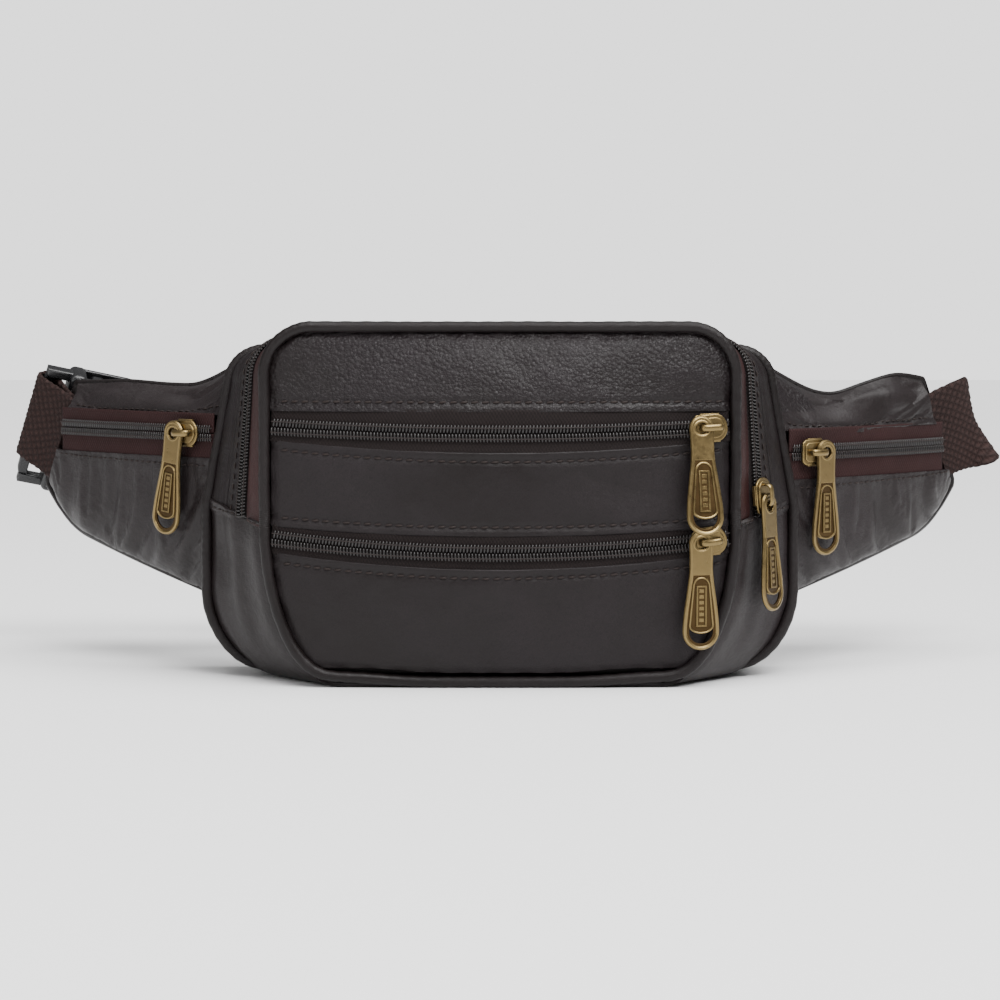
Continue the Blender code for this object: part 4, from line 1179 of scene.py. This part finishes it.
def gusset_frames():
    """Places of the main zip's teeth, evenly spaced along its chain."""
    frames = []
    reach = s_at(MAIN_CHAIN, seam_height(MAIN_CHAIN) - 1.0)
    previous = gusset(CHAIN_START, MAIN_CHAIN)
    left = 0.0
    for i in range(1, CHAIN_STEPS):
        s = (2.0 * i / CHAIN_STEPS - 1.0) * reach
        p = gusset(s, MAIN_CHAIN)
        left += (p - previous).length
        if left >= TOOTH_PITCH / 2:
            left -= TOOTH_PITCH / 2
            along = (p - previous).normalized()
            across = gusset(s, 1.0) - gusset(s, 0.0)
            across = (across - along * across.dot(along)).normalized()
            frames.append((p, along, across, along.cross(across)))
        previous = p
    return frames


def build_gusset():
    edge = (SEAM - 0.9) / GUSSET_WIDTH
    chain = (MAIN_CHAIN - MAIN_CHAIN_HALF, MAIN_CHAIN + MAIN_CHAIN_HALF)

    def fold(u, t, p):
        return 0.25 * wave(p, 0.06, 3.0) * sin(pi * t) + 0.35 * sin(pi * t)

    def front_fold(u, t, p):
        """Flat along the right straight run, where the slider passes."""
        clear = smooth(p.x, 88.0, 96.0) * smooth(t, 0.3, 0.8)
        return fold(u, t, p) * (1.0 - clear) - 0.8 * clear

    front = gusset_skin((edge, chain[0] - TAPE_GAP), 320, 8, front_fold)
    place_on(front.solid("main_zip_leather_front", TAPE, MAT["burgundy"], 0.35),
             ["main_zip_tape_front"])
    rear = gusset_skin((chain[1] + TAPE_GAP, MAIN_TAPE_REAR - 0.006), 320, 8, fold)
    place_on(rear.solid("main_zip_leather_rear", TAPE, MAT["smooth"], 0.35),
             ["main_zip_tape_rear"])
    stitch_row("main_zip_stitches", skin_path(rear, lambda f: (0.004 + 0.992 * f, 0.42), 700),
               length=2.4, radius=0.3)
    # Tape under the coil, drawn near black: painted shade behind the chain, on a tape that is
    # itself burgundy.
    under = gusset_skin((chain[0] - 0.03, chain[1] + 0.03), 240, 4, None, 0.9)
    place_on(under.solid("main_zip_under_tape", 0.4, MAT["tape_painted_shade"], 0.0))
    coil("main_zip_coil", gusset_frames(), ["main_zip_teeth"])

    def strip(u, t, p):
        return 0.3 * wave(p, 0.07, 6.0) + 0.5 * sin(pi * t) + lip_groove(t * 11.0, 2.4, 0.9)

    rear_strip = gusset_skin((MAIN_TAPE_REAR, 1.0 - edge), 260, 14, strip)
    place_on(rear_strip.solid("gusset_leather_rear", LEATHER, MAT["smooth"]),
             ["gusset_rear_strip"])
    build_lower_gusset(edge)
    build_piping("ridge_piping_leather", "ridge_piping", RIDGE_RIM, Y_RIDGE)


def build_lower_gusset(edge):
    """The leather under the body and up both sides, with the soft upright folds of its ends."""
    def detail(u, t, p):
        side = smooth(p.z, 6.0, 26.0)
        fold = sin(p.y * 0.42 + 1.4 * wave(p, 0.03, 2.0) + p.z * 0.02)
        d = side * (0.75 * fold * sin(pi * t) + 0.9 * wave(p, 0.05, 5.0))
        d -= 0.9 * (1.0 - smooth(min(t, 1.0 - t) * 27.0, 0.0, 4.0)) * smooth(p.z, 1.0, 8.0)
        end = min(u, 1.0 - u) * GUSSET_RUN
        d += lip_groove(end, FINE_STITCH_IN, 0.9) * 0.9
        clear = smooth(abs(t - MAIN_CHAIN), 0.12, 0.2)
        return min(d, 1.0) + 1.3 * clear * (1.0 - smooth(end, 2.0, 8.0))

    skin = gusset_skin((edge, 1.0 - edge), 300, 30, detail, under=True)
    place_on(skin.solid("gusset_leather_lower", LEATHER, MAT["wing"]),
             ["lower_gusset"])
    seam = FINE_STITCH_IN / GUSSET_RUN
    for name, u in (("right", seam), ("left", 1.0 - seam)):
        stitch_row(f"gusset_stitches_{name}", skin_path(skin, lambda f: (u, 0.06 + 0.88 * f), 60),
                   pitch=3.2, length=2.2, radius=0.34)


# ---------------------------------------------------------------- rear body

def build_rear_body():
    ys = (Y_RIDGE + SEAM - 0.8, Y_BACK - PADDING - GAP)

    def band(s_range, under):
        def surface(u, t):
            s = s_range[0] + (s_range[1] - s_range[0]) * u
            if under:
                s = under_to_rim(s)
            return rim_point(RIDGE_RIM, s, ys[0] + (ys[1] - ys[0]) * t)
        return surface

    def top_detail(u, t, p):
        return (0.9 * sin(pi * t) + 0.7 * wave(p, 0.05, 1.0) * sin(pi * t)
                - 0.6 * (1.0 - smooth(min(t, 1.0 - t) * 24.0, 0.0, 3.0)))

    top = Skin(band((-1.97, 1.97), False), 220, 26, top_detail)
    place_on(top.solid("top_strip_leather", LEATHER, MAT["smooth"]), ["top_strip"])

    def base_detail(u, t, p):
        sunk = 1.0 - smooth(min(t, 1.0 - t) * 24.0, 0.0, 3.0)
        return min(0.0, -0.5 * sunk) * smooth(p.z, 0.5, 4.0)

    base = Skin(band((4.03, 7.97), True), 220, 22, base_detail)
    place_on(base.solid("base_strip_leather", LEATHER, MAT["smooth"]),
             ["base_strip"])


def build_back_panel():
    """Padded back: spacer mesh quilted in upright channels, inside a leather binding."""
    def surface(u, t):
        x, z = 0.0, 60.0
        for _ in range(8):
            z = bottom_z(x) + (top_edge(-x) - bottom_z(x)) * t
            x = (2.0 * u - 1.0) * tip_x(z)
        return Vector((-x, back_y(x), z))

    def rim_distance(u, t, p):
        height = top_z(p.x) - bottom_z(p.x)
        return min((1.0 - abs(2.0 * u - 1.0)) * WING_TIP_MID[0], t * height, (1.0 - t) * height)

    def detail(u, t, p):
        inside = rim_distance(u, t, p)
        puff = smooth(inside, 0.0, QUILT_MARGIN)
        channel = abs(sin(pi * p.x / QUILT_CHANNEL)) * QUILT_CHANNEL / pi
        groove = exp(-(channel / 2.2) ** 2) if inside > QUILT_MARGIN else 0.0
        d = 3.6 * puff * (1.0 - 0.75 * groove) + 0.35 * wave(p, 0.05, 2.0) * puff
        flat = smooth(p.z, 0.0, 3.0)
        return d * flat

    skin = Skin(surface, 300, 90, detail)
    obj = skin.solid("back_panel_padded", PADDING - 0.2, MAT["mesh"], 0.35)
    place_on(obj, ["back_panel"])
    loop = [(u, 0.0) for u in (i / 200 for i in range(200))]
    loop += [(1.0, t) for t in (i / 60 for i in range(60))]
    loop += [(1.0 - u, 1.0) for u in (i / 200 for i in range(200))]
    loop += [(0.0, 1.0 - t) for t in (i / 60 for i in range(60))]
    centre = Vector((0.0, Y_BACK, 60.0))
    path = []
    for u, t in loop:
        p = skin.at(u, t, -PADDING * 0.5)
        p.z = max(p.z, 2.3)
        path.append((p, (p - centre).normalized()))

    def girth(k):
        on_top = smooth(k, 0.48, 0.52) * (1.0 - smooth(k, 0.86, 0.90))
        return 2.2 - 1.1 * on_top, 1.7 - 0.6 * on_top

    binding = tube_mesh("back_binding", path, girth, MAT["piping"], 14, True)
    place_on(binding)


# ---------------------------------------------------------------- wings

def crease(phase):
    """Rounded folds with tight valleys between them, about -1 to 1."""
    return 2.0 * abs(sin(phase / 2.0)) ** 0.75 - 1.0


def wing_skin(sign, z_low, z_high, cols, rows, detail, t_meets, root=SEAM - 0.9):
    """Front panel of a wing; t_meets is the edge, 0 or 1, that is sewn to the back panel."""
    def surface(u, t):
        u = u if sign > 0 else 1.0 - u
        x, z = WING_MIDDLE_X, 80.0
        for _ in range(6):
            z = z_low(x) + (z_high(x) - z_low(x)) * t
            x = wing_x(u, z, root)
        # the outer edge meets the back panel even where it falls short of the plain outline
        short = (bottom_z(x) - z_low(x)) * (1.0 - t)
        if t_meets == 1.0:
            short = (top_z(x) - z_high(x)) * t
        return Vector((sign * x, wing_front_y(x, z + short), z))
    return Panel(surface, cols, rows, detail)


def settle(obj, grow, reach, seed):
    """Cloth simulation of a slack panel held at its edges; no point moves more than reach."""
    mesh = obj.data
    rest = [v.co.copy() for v in mesh.vertices]
    counts = {}
    for polygon in mesh.polygons:
        for key in polygon.edge_keys:
            counts[key] = counts.get(key, 0) + 1
    border = sorted({v for key, n in counts.items() if n == 1 for v in key})
    pinned = obj.vertex_groups.new(name="held")
    pinned.add(border, 1.0, "REPLACE")
    rng = random.Random(seed)
    for v in mesh.vertices:
        v.co += v.normal * rng.uniform(-SETTLE_JITTER, SETTLE_JITTER)
    cloth = obj.modifiers.new("cloth", "CLOTH")
    cloth.settings.vertex_group_mass = "held"
    cloth.settings.quality = 6
    cloth.settings.mass = 0.4
    cloth.settings.shrink_min = -grow
    cloth.settings.tension_stiffness = 25.0
    cloth.settings.compression_stiffness = 25.0
    cloth.settings.shear_stiffness = 8.0
    cloth.settings.bending_stiffness = 0.35
    cloth.settings.effector_weights.gravity = 0.15
    cloth.collision_settings.use_collision = False
    cloth.collision_settings.use_self_collision = False
    scene = bpy.context.scene
    cloth.point_cache.frame_start, cloth.point_cache.frame_end = 1, SETTLE_FRAMES
    for number in range(1, SETTLE_FRAMES + 1):
        scene.frame_set(number)
    depsgraph = bpy.context.evaluated_depsgraph_get()
    moved = [v.co.copy() for v in obj.evaluated_get(depsgraph).data.vertices]
    obj.modifiers.remove(cloth)
    obj.vertex_groups.clear()
    scene.frame_set(1)
    for v, start, end in zip(mesh.vertices, rest, moved):
        step = end - start
        if step.length > reach * MM:
            step = step.normalized() * reach * MM
        v.co = start + step


class Panel(Skin):
    """A skin whose slack is settled by the cloth simulation before it gets its thickness."""

    def settle(self, grow, reach, seed):
        points = [p for line in self.p for p in line]
        obj = mesh_from("settling", points, grid_faces(self.cols, self.rows), None)
        settle(obj, grow, reach, seed)
        for k, v in enumerate(obj.data.vertices):
            i, j = divmod(k, self.rows)
            self.p[i][j] = v.co / MM
        bpy.data.objects.remove(obj)
        self.n = self.normals()


def build_wing(side, sign):
    """Two settled leather panels, the zip between them, and their stitches."""
    spec = WING_ZIP[side]
    low_lip, high_lip = spec["lips"]
    seed = 2.0 if sign < 0 else 7.0

    def upper_detail(u, t, p):
        x = abs(p.x)
        drape = 1.8 * wave((p.x * 0.6, p.y, p.z * 1.5), 0.06, seed)
        drape += 0.45 * sin(x * 0.22 + p.z * 0.26 + 2.2 * wave(p, 0.035, seed + 4.0))
        edge = smooth(t, 0.0, 0.25) * smooth(1.0 - t, 0.0, 0.3) * smooth(x - 112.0, 0.0, 9.0)
        return drape * edge + lip_groove(p.z - high_lip, FINE_STITCH_IN, 0.8) * 0.7

    def lower_detail(u, t, p):
        x = abs(p.x)
        slant = (p.z - low_lip) * 0.17
        phase = x * 0.30 + slant + 2.8 * wave(p, 0.028, seed)
        fold = 0.6 * sin(phase) + 0.4 * crease(phase + 1.0)
        fine = sin(x * 0.66 + slant * 1.6 + 3.0 * wave(p, 0.045, seed + 2.0))
        mask = smooth(t, 0.0, 0.16) * smooth(1.0 - t, 0.04, 0.4) * smooth(x - 116.0, 0.0, 8.0)
        mask *= smooth(tip_x(p.z) - x, 0.0, 10.0)
        d = mask * (1.15 * fold + 0.28 * fine + 1.1 * wave(p, 0.04, seed + 5.0))
        return d + lip_groove(low_lip - p.z, FINE_STITCH_IN, 0.8) * 0.7

    def settled(z_low, z_high, rows, detail, number, t_meets):
        panel = wing_skin(sign, z_low, z_high, WING_COLS, rows, detail, t_meets)
        panel.settle(WING_SLACK, SETTLE_REACH, number)
        return panel

    upper = settled(lambda x: high_lip, lambda x: top_edge(sign * x) - 0.2, 26, upper_detail,
                    11, 1.0)
    obj = upper.solid(f"wing_{side}_leather_upper", LEATHER, MAT["wing"])
    if sign > 0:
        obj.data.materials.append(MAT["pebbled"])
        for face in obj.data.polygons:
            middle = face.center / MM
            border = 125.0 - 0.35 * (middle.z - high_lip) + 3.0 * wave(middle, 0.08, 2.0)
            face.material_index = 1 if middle.x < border and middle.z > high_lip + 7.0 else 0
    place_on(obj, [f"wing_{side}_panel_upper"])
    lower = settled(lambda x: bottom_z(x) + 0.2, lambda x: low_lip, 54, lower_detail, 12, 0.0)
    place_on(lower.solid(f"wing_{side}_leather_lower", LEATHER, MAT["wing"]),
             [f"wing_{side}_panel_lower"])
    arc = wing_zip_arc(sign, spec["z"])
    root = wing_x(0.0, spec["z"], SEAM)
    ends = (sign * root, sign * (tip_x(spec["z"]) + 0.6))
    if sign < 0:
        ends = (ends[1], ends[0])
    arc_tape(f"wing_{side}_cloth_upper", arc, ends, lambda a: 0.15,
             lambda a: high_lip + 0.8 - spec["z"], MAT["tape_red"], f"wing_{side}_tape_upper", 0.4)
    arc_tape(f"wing_{side}_cloth_lower", arc, ends, lambda a: low_lip - 0.8 - spec["z"],
             lambda a: -0.15, MAT["tape_red"], f"wing_{side}_tape_lower", 0.4)
    coil(f"wing_{side}_coil", arc_frames(arc, (ends[0] + 0.6, ends[1] - 0.6)),
         [f"wing_{side}_teeth"])
    upper_height, lower_height = top_z(WING_MIDDLE_X) - high_lip, low_lip - bottom_z(WING_MIDDLE_X)
    for name, skin, t in (("upper", upper, FINE_STITCH_IN / upper_height),
                          ("lower", lower, 1.0 - FINE_STITCH_IN / lower_height)):
        stitch_row(f"wing_{side}_stitches_{name}",
                   skin_path(skin, lambda f: (0.03 + 0.94 * f, t), 120),
                   pitch=3.4, length=2.3, radius=0.32)


# ---------------------------------------------------------------- belt and buckle

WEB_W, WEB_T = 38.0, 2.2
WEAVE = 3.1
TAB_RUN = 20.5
BELT_Y, BELT_Z = 125.0, 66.0
BELT_STRAIGHT = (-60.0, 95.0)
LOOP_R, TAIL_GAP, TAIL_END_X = 3.6, 3.1, 34.0
BELT_BEND = (Vector((197.0, 103.0, 95.5)), Vector((180.0, 117.0, 88.5)))
BELT_BEND_WIDTH = Vector((0.45, 0.36, -0.82))
BUCKLE_BAR = Vector((-191.5, 98.5, 98.3))
BUCKLE_B = Vector((0.920, 0.300, -0.2074)).normalized()
BUCKLE_W = Vector((-0.311, 0.340, -0.888)).normalized()
MALE_BAR_B = 55.0
BUCKLE_DROP = 4.0        # the webbing sits at the upper end of the buckle's slots
BUCKLE_HALF_W, SLOT_HALF_W = 26.0, 23.2


def hermite(p0, d0, p1, d1, count):
    """Points of a smooth curve between two ends with their directions."""
    points = []
    for i in range(count):
        t = i / (count - 1)
        a, b = 2 * t ** 3 - 3 * t ** 2 + 1, t ** 3 - 2 * t ** 2 + t
        c, d = -2 * t ** 3 + 3 * t ** 2, t ** 3 - t ** 2
        points.append(p0 * a + d0 * b + p1 * c + d1 * d)
    return points


def turn_round(centre, run, normal, radius, count):
    """A half turn round a bar, from -normal to +normal, bulging along run."""
    return [centre + (run * sin(a) - normal * cos(a)) * radius
            for a in (pi * i / (count - 1) for i in range(count))]


def wing_exit(sign):
    """Where the webbing leaves a wing: middle of its end, run direction, width direction."""
    point = Vector((sign * 179.2, 86.5, 90.0))
    width = Vector((sign * 0.311, 0.340, -0.888)).normalized()
    run = Vector((sign * 0.684, 0.729, 0.0))
    run = (run - width * run.dot(width)).normalized()
    return point, run, width


def resample(points, widths, step):
    """Evenly spaced points and widths along a path."""
    out_points, out_widths = [points[0]], [widths[0]]
    left = step
    for i in range(len(points) - 1):
        run = (points[i + 1] - points[i]).length
        while left <= run:
            f = left / run
            out_points.append(points[i].lerp(points[i + 1], f))
            out_widths.append(widths[i].lerp(widths[i + 1], f))
            left += step
        left -= run
    return out_points + [points[-1]], out_widths + [widths[-1]]


def weave_height(along, across):
    """Fat slanted picks of a coarse weave, 0 to 1."""
    a = pi * (along / WEAVE + across / (WEAVE * 1.7))
    b = pi * (across / (WEAVE * 0.72) - along / (WEAVE * 2.6))
    return abs(sin(a)) ** 0.8 * abs(sin(b)) ** 0.6


def ribbon(name, points, widths, mat, step=0.8, columns=56):
    """Webbing through points, with a width direction at each and its weave in relief."""
    points, widths = resample(points, widths, step)
    verts, uvs = [], []
    last = len(points) - 1
    section = [(-1.0 + 2.0 * k / (columns - 1), 1.0) for k in range(columns)]
    section += [(1.0 - 2.0 * k / (columns - 1), -1.0) for k in range(columns)]
    for i, (point, width) in enumerate(zip(points, widths)):
        run = (points[min(i + 1, last)] - points[max(i - 1, 0)]).normalized()
        across = (width - run * width.dot(run)).normalized()
        normal = run.cross(across)
        along = i * step
        for w, side in section:
            round_off = sqrt(max(0.0, 1.0 - max(0.0, (abs(w) - 0.94) / 0.06) ** 2))
            height = WEB_T / 2 - 0.42 + 0.52 * weave_height(along, w * WEB_W / 2)
            offset = side * (0.25 + (height - 0.25) * round_off)
            edge = 0.18 * sin(pi * along / WEAVE * 2.0) * (abs(w) > 0.97)
            verts.append(point + across * (w * (WEB_W / 2 - 0.2) + edge) + normal * offset)
            uvs.append((along * MM, w * WEB_W / 2 * MM))
    sides = len(section)
    faces = tube_faces(last + 1, sides)
    faces.append(tuple(reversed(range(sides))))
    faces.append(tuple(range(last * sides, (last + 1) * sides)))
    obj = mesh_from(name, verts, faces, mat, 70.0)
    layer = obj.data.uv_layers.new(name="UVMap")
    for loop in obj.data.loops:
        layer.data[loop.index].uv = uvs[loop.vertex_index]
    return obj


def build_tab():
    """Left tab: out of the wing, round the buckle's bar and back, sewn together inside."""
    point = wing_exit(-1.0)[0]
    run = BUCKLE_BAR - point
    run = (run - BUCKLE_W * run.dot(BUCKLE_W)).normalized()
    normal = BUCKLE_W.cross(run)
    start = BUCKLE_BAR - run * TAB_RUN
    sewn = WEB_T / 2 + 0.15
    steps = [i / 8 for i in range(8)]
    near = [start + run * (TAB_RUN * f) - normal * (sewn + (LOOP_R - sewn) * smooth(f, 0.25, 1.0))
            for f in steps]
    far = [start + run * (TAB_RUN * f) + normal * (sewn + (LOOP_R - sewn) * smooth(f, 0.25, 1.0))
           for f in reversed(steps)]
    points = near + turn_round(BUCKLE_BAR, run, normal, LOOP_R, 15) + far
    obj = ribbon("tab_webbing", points, [BUCKLE_W] * len(points), MAT["webbing"], 0.6)
    place_on(obj, ["webbing_tab"])


def build_belt():
    """Right wing, round behind the pack, through the male half's bar and back as a tail."""
    point, run, width = wing_exit(1.0)
    down, east = Vector((0.0, 0.0, -1.0)), Vector((1.0, 0.0, 0.0))
    apex, behind = BELT_BEND
    over, inward = Vector((-0.05, 1.0, -0.12)), Vector((-0.95, 0.05, -0.31))
    right = Vector((BELT_STRAIGHT[1], BELT_Y, BELT_Z))
    left = Vector((BELT_STRAIGHT[0], BELT_Y, BELT_Z))
    bar = BUCKLE_BAR + BUCKLE_B * MALE_BAR_B
    normal = BUCKLE_W.cross(BUCKLE_B)
    if normal.y < 0:
        normal = -normal
    near_bar, far_bar = bar - normal * LOOP_R, bar + normal * LOOP_R
    start = point - run * 1.5 + Vector((0.0, 0.8, 0.0))
    first = hermite(start, run * 26.0, apex, over * 16.0, 22)
    second = hermite(apex, over * 20.0, behind, inward * 20.0, 22)[1:]
    third = hermite(behind, inward * 70.0, right, east * -70.0, 34)[1:]
    middle = [right.lerp(left, t / 12) for t in range(1, 13)]
    last = hermite(left, east * -62.0, near_bar, BUCKLE_B * -62.0, 28)[1:]
    widths = [width.lerp(BELT_BEND_WIDTH, i / len(first)) for i in range(len(first))]
    widths += [BELT_BEND_WIDTH] * len(second)
    for p in third + middle + last:
        if p.x > right.x:
            widths.append(down.lerp(BELT_BEND_WIDTH, smooth(p.x, right.x, behind.x)))
        else:
            widths.append(down.lerp(BUCKLE_W, smooth(-p.x, -left.x, -near_bar.x - 9.0)))
    turn = turn_round(bar, -BUCKLE_B, normal, LOOP_R, 15)[1:-1]
    tail_left = left + Vector((0.0, TAIL_GAP, 0.0))
    tail = hermite(far_bar, BUCKLE_B * 62.0, tail_left, east * 62.0, 28)
    tail += [Vector((x, tail_left.y, BELT_Z)) for x in (-40.0, -20.0, 0.0, TAIL_END_X)]
    points = first + second + third + middle + last + turn + tail
    widths += [BUCKLE_W] * len(turn)
    widths += [down.lerp(BUCKLE_W, smooth(-p.x, -left.x, -far_bar.x - 9.0)) for p in tail]
    obj = ribbon("belt_webbing", points, widths, MAT["webbing"], 1.0, 44)
    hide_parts("waist_belt")
    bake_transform(obj)


def rounded_box(x_low, x_high, half_y, radius, steps=6):
    """Outline of a rectangle with round corners; radius is a number or one for each x end."""
    low_r, high_r = radius if isinstance(radius, tuple) else (radius, radius)
    points = []
    for cx, cy, r, turn in ((x_high, half_y, high_r, 0.0), (x_low, half_y, low_r, 0.5),
                            (x_low, -half_y, low_r, 1.0), (x_high, -half_y, high_r, 1.5)):
        mx = cx - copysign(r, cx - (x_low + x_high) / 2)
        my = cy - copysign(r, cy)
        for k in range(steps + 1):
            a = pi * (turn + 0.5 * k / steps)
            points.append((mx + r * cos(a), my + r * sin(a)))
    return points


def moulding(node, body, parts):
    """A moulded buckle piece from flat parts; x runs into the buckle, y across the webbing."""
    origin = BUCKLE_BAR + BUCKLE_W * BUCKLE_DROP
    thick = BUCKLE_B.cross(BUCKLE_W)

    def placed(p):
        return origin + BUCKLE_B * p.x + BUCKLE_W * p.y + thick * p.z

    place_on(assemble(f"{node}_moulded", parts, placed, MAT["plastic"]), [node], body)


def build_buckle():
    """Side-release buckle: female shell with its bar, male frame and tongue, two prongs."""
    female = [flat_part([rounded_box(-1.7, 12.0, BUCKLE_HALF_W, (6.0, 1.0)),
                         rounded_box(1.4, 9.0, SLOT_HALF_W, 2.2)], 0.0, 1.5, 0.6),
              flat_part([rounded_box(9.4, 14.4, BUCKLE_HALF_W, 1.5)], 0.0, 5.4, 1.2)]
    for z in (-4.5, 4.5):
        female.append(flat_part([rounded_box(9.4, 38.0, BUCKLE_HALF_W, (1.5, 5.0))], z, 1.0, 0.6))
        female.append(flat_part([rounded_box(17.0, 34.0, 14.0, 4.0),
                                 rounded_box(18.2, 32.8, 12.8, 3.2)], z * 1.2, 0.25, 0.1))
    for side in (-1.0, 1.0):
        low, high = sorted((side * 23.6, side * 25.9))
        rail = [(-0.5, low), (12.0, low), (12.0, high), (-0.5, high)]
        female.append(flat_part([rail], 0.0, 2.6, 0.8))
    moulding("buckle_female", "bag", female)
    male = [flat_part([rounded_box(38.7, 47.0, 23.0, (1.0, 2.0))], 0.0, 3.2, 1.0),
            flat_part([rounded_box(45.5, 56.3, BUCKLE_HALF_W, (1.5, 5.0)),
                       rounded_box(47.7, 53.6, SLOT_HALF_W, 2.0)], 0.0, 1.5, 0.6),
            flat_part([rounded_box(16.0, 40.0, 4.0, (3.0, 1.0))], 0.0, 2.4, 0.6)]
    for k in range(5):
        x = 40.4 + 1.3 * k
        male.append(flat_part([rounded_box(x, x + 0.6, 19.0, 0.25)], 0.0, 3.5, 0.15))
    moulding("buckle_male", "buckle_male", male)
    for node in ("buckle_prong_upper", "buckle_prong_lower", "belt_keeper"):
        obj = rounded_copy(node, f"{node}_moulded", 0.7, MAT["plastic"], 4)
        place_on(obj, [node], node)


# ---------------------------------------------------------------- the rest of the scene

def dress_nodes():
    """Inner CAD pieces that stay as they are, with their finishes."""
    inner = ["main_lining", "wing_left_lining", "wing_right_lining", "front_partition",
             "front_pocket_divider", "side_wall_left", "side_wall_right"]
    for name in inner:
        mesh = frame["nodes"][name].data
        mesh.materials.clear()
        mesh.materials.append(MAT["lining"])


def area_light(name, place, aim, size, power):
    light = bpy.data.lights.new(name, "AREA")
    light.shape = "RECTANGLE"
    light.size, light.size_y = size
    light.energy = power
    obj = link(name, light)
    obj.location = place
    obj.rotation_euler = (Vector(aim) - Vector(place)).to_track_quat("-Z", "Y").to_euler()


WORLD_LIGHT, WORLD_SEEN = 0.30, 1.9


def build_stage():
    """White paper floor, an even world that looks as bright as the floor, and the lights."""
    bm = bmesh.new()
    bmesh.ops.create_grid(bm, x_segments=1, y_segments=1, size=4.0)
    mesh = bpy.data.meshes.new("floor")
    bm.to_mesh(mesh)
    bm.free()
    floor = link("floor", mesh)
    m = Nodes("floor_paper")
    mesh.materials.append(m.finish((0.86, 0.86, 0.86), 0.9))
    world = bpy.data.worlds.new("studio")
    world.use_nodes = True
    tree = world.node_tree
    lit, seen = tree.nodes["Background"], tree.nodes.new("ShaderNodeBackground")
    for node, strength in ((lit, WORLD_LIGHT), (seen, WORLD_SEEN)):
        node.inputs["Color"].default_value = (1.0, 1.0, 1.0, 1.0)
        node.inputs["Strength"].default_value = strength
    rays = tree.nodes.new("ShaderNodeLightPath")
    mix = tree.nodes.new("ShaderNodeMixShader")
    tree.links.new(rays.outputs["Is Camera Ray"], mix.inputs["Fac"])
    tree.links.new(lit.outputs["Background"], mix.inputs[1])
    tree.links.new(seen.outputs["Background"], mix.inputs[2])
    tree.links.new(mix.outputs["Shader"], tree.nodes["World Output"].inputs["Surface"])
    bpy.context.scene.world = world
    aim = (0.0, 0.0, 0.07)
    area_light("key_light", (0.45, -0.9, 1.15), aim, (0.8, 0.6), 20.0)
    area_light("fill_light", (-1.0, -0.9, 0.7), aim, (0.7, 0.9), 6.0)
    sun = bpy.data.lights.new("sky_panel", "SUN")
    sun.energy = 5.5
    sun.angle = radians(70.0)
    obj = link("sky_panel", sun)
    obj.rotation_euler = Vector((-0.25, 0.30, -1.0)).to_track_quat("-Z", "Y").to_euler()


CAMERA_LENS, CAMERA_PLACE, CAMERA_TILT = 105.6, (0.0, -1.116, 0.148), 4.0


def build_camera():
    data = bpy.data.cameras.new("camera")
    data.lens = CAMERA_LENS
    data.sensor_width = 36.0
    camera = link("camera", data)
    camera.location = CAMERA_PLACE
    camera.rotation_euler = (radians(90.0 - CAMERA_TILT), 0.0, 0.0)
    bpy.context.scene.camera = camera


build_camera()
build_front_wall()
build_front_zip("front_zip_upper", ZIP_UPPER)
build_front_zip("front_zip_lower", ZIP_LOWER)
build_gusset()
build_rear_body()
build_back_panel()
for wing_name, wing_sign in WING_SIDES:
    build_wing(wing_name, wing_sign)
FRONT_SLIDER_X, MAIN_SLIDER_Z = 78.0, 72.0
SLIDERS = []
for half, spec in (("upper", ZIP_UPPER), ("lower", ZIP_LOWER)):
    arc = front_zip_arc(spec)
    where = arc_place(arc, arc.angle_at_x(FRONT_SLIDER_X))
    SLIDERS.append((f"front_zip_{half}", f"front_{half}", where))
SLIDERS.append(("main_zip", "main", main_zip_place(MAIN_SLIDER_Z)))
for wing_name, wing_sign in WING_SIDES:
    arc = wing_zip_arc(wing_sign, WING_ZIP[wing_name]["z"])
    SLIDERS.append((f"wing_{wing_name}", f"wing_{wing_name}", arc_place(arc, 0.0)))
for zip_name, joint_start, where in SLIDERS:
    build_slider(f"{zip_name}_slider", where)
    build_pull(f"{zip_name}_pull", f"{joint_start}_pull_swing")
build_tab()
build_belt()
build_buckle()
dress_nodes()
build_stage()
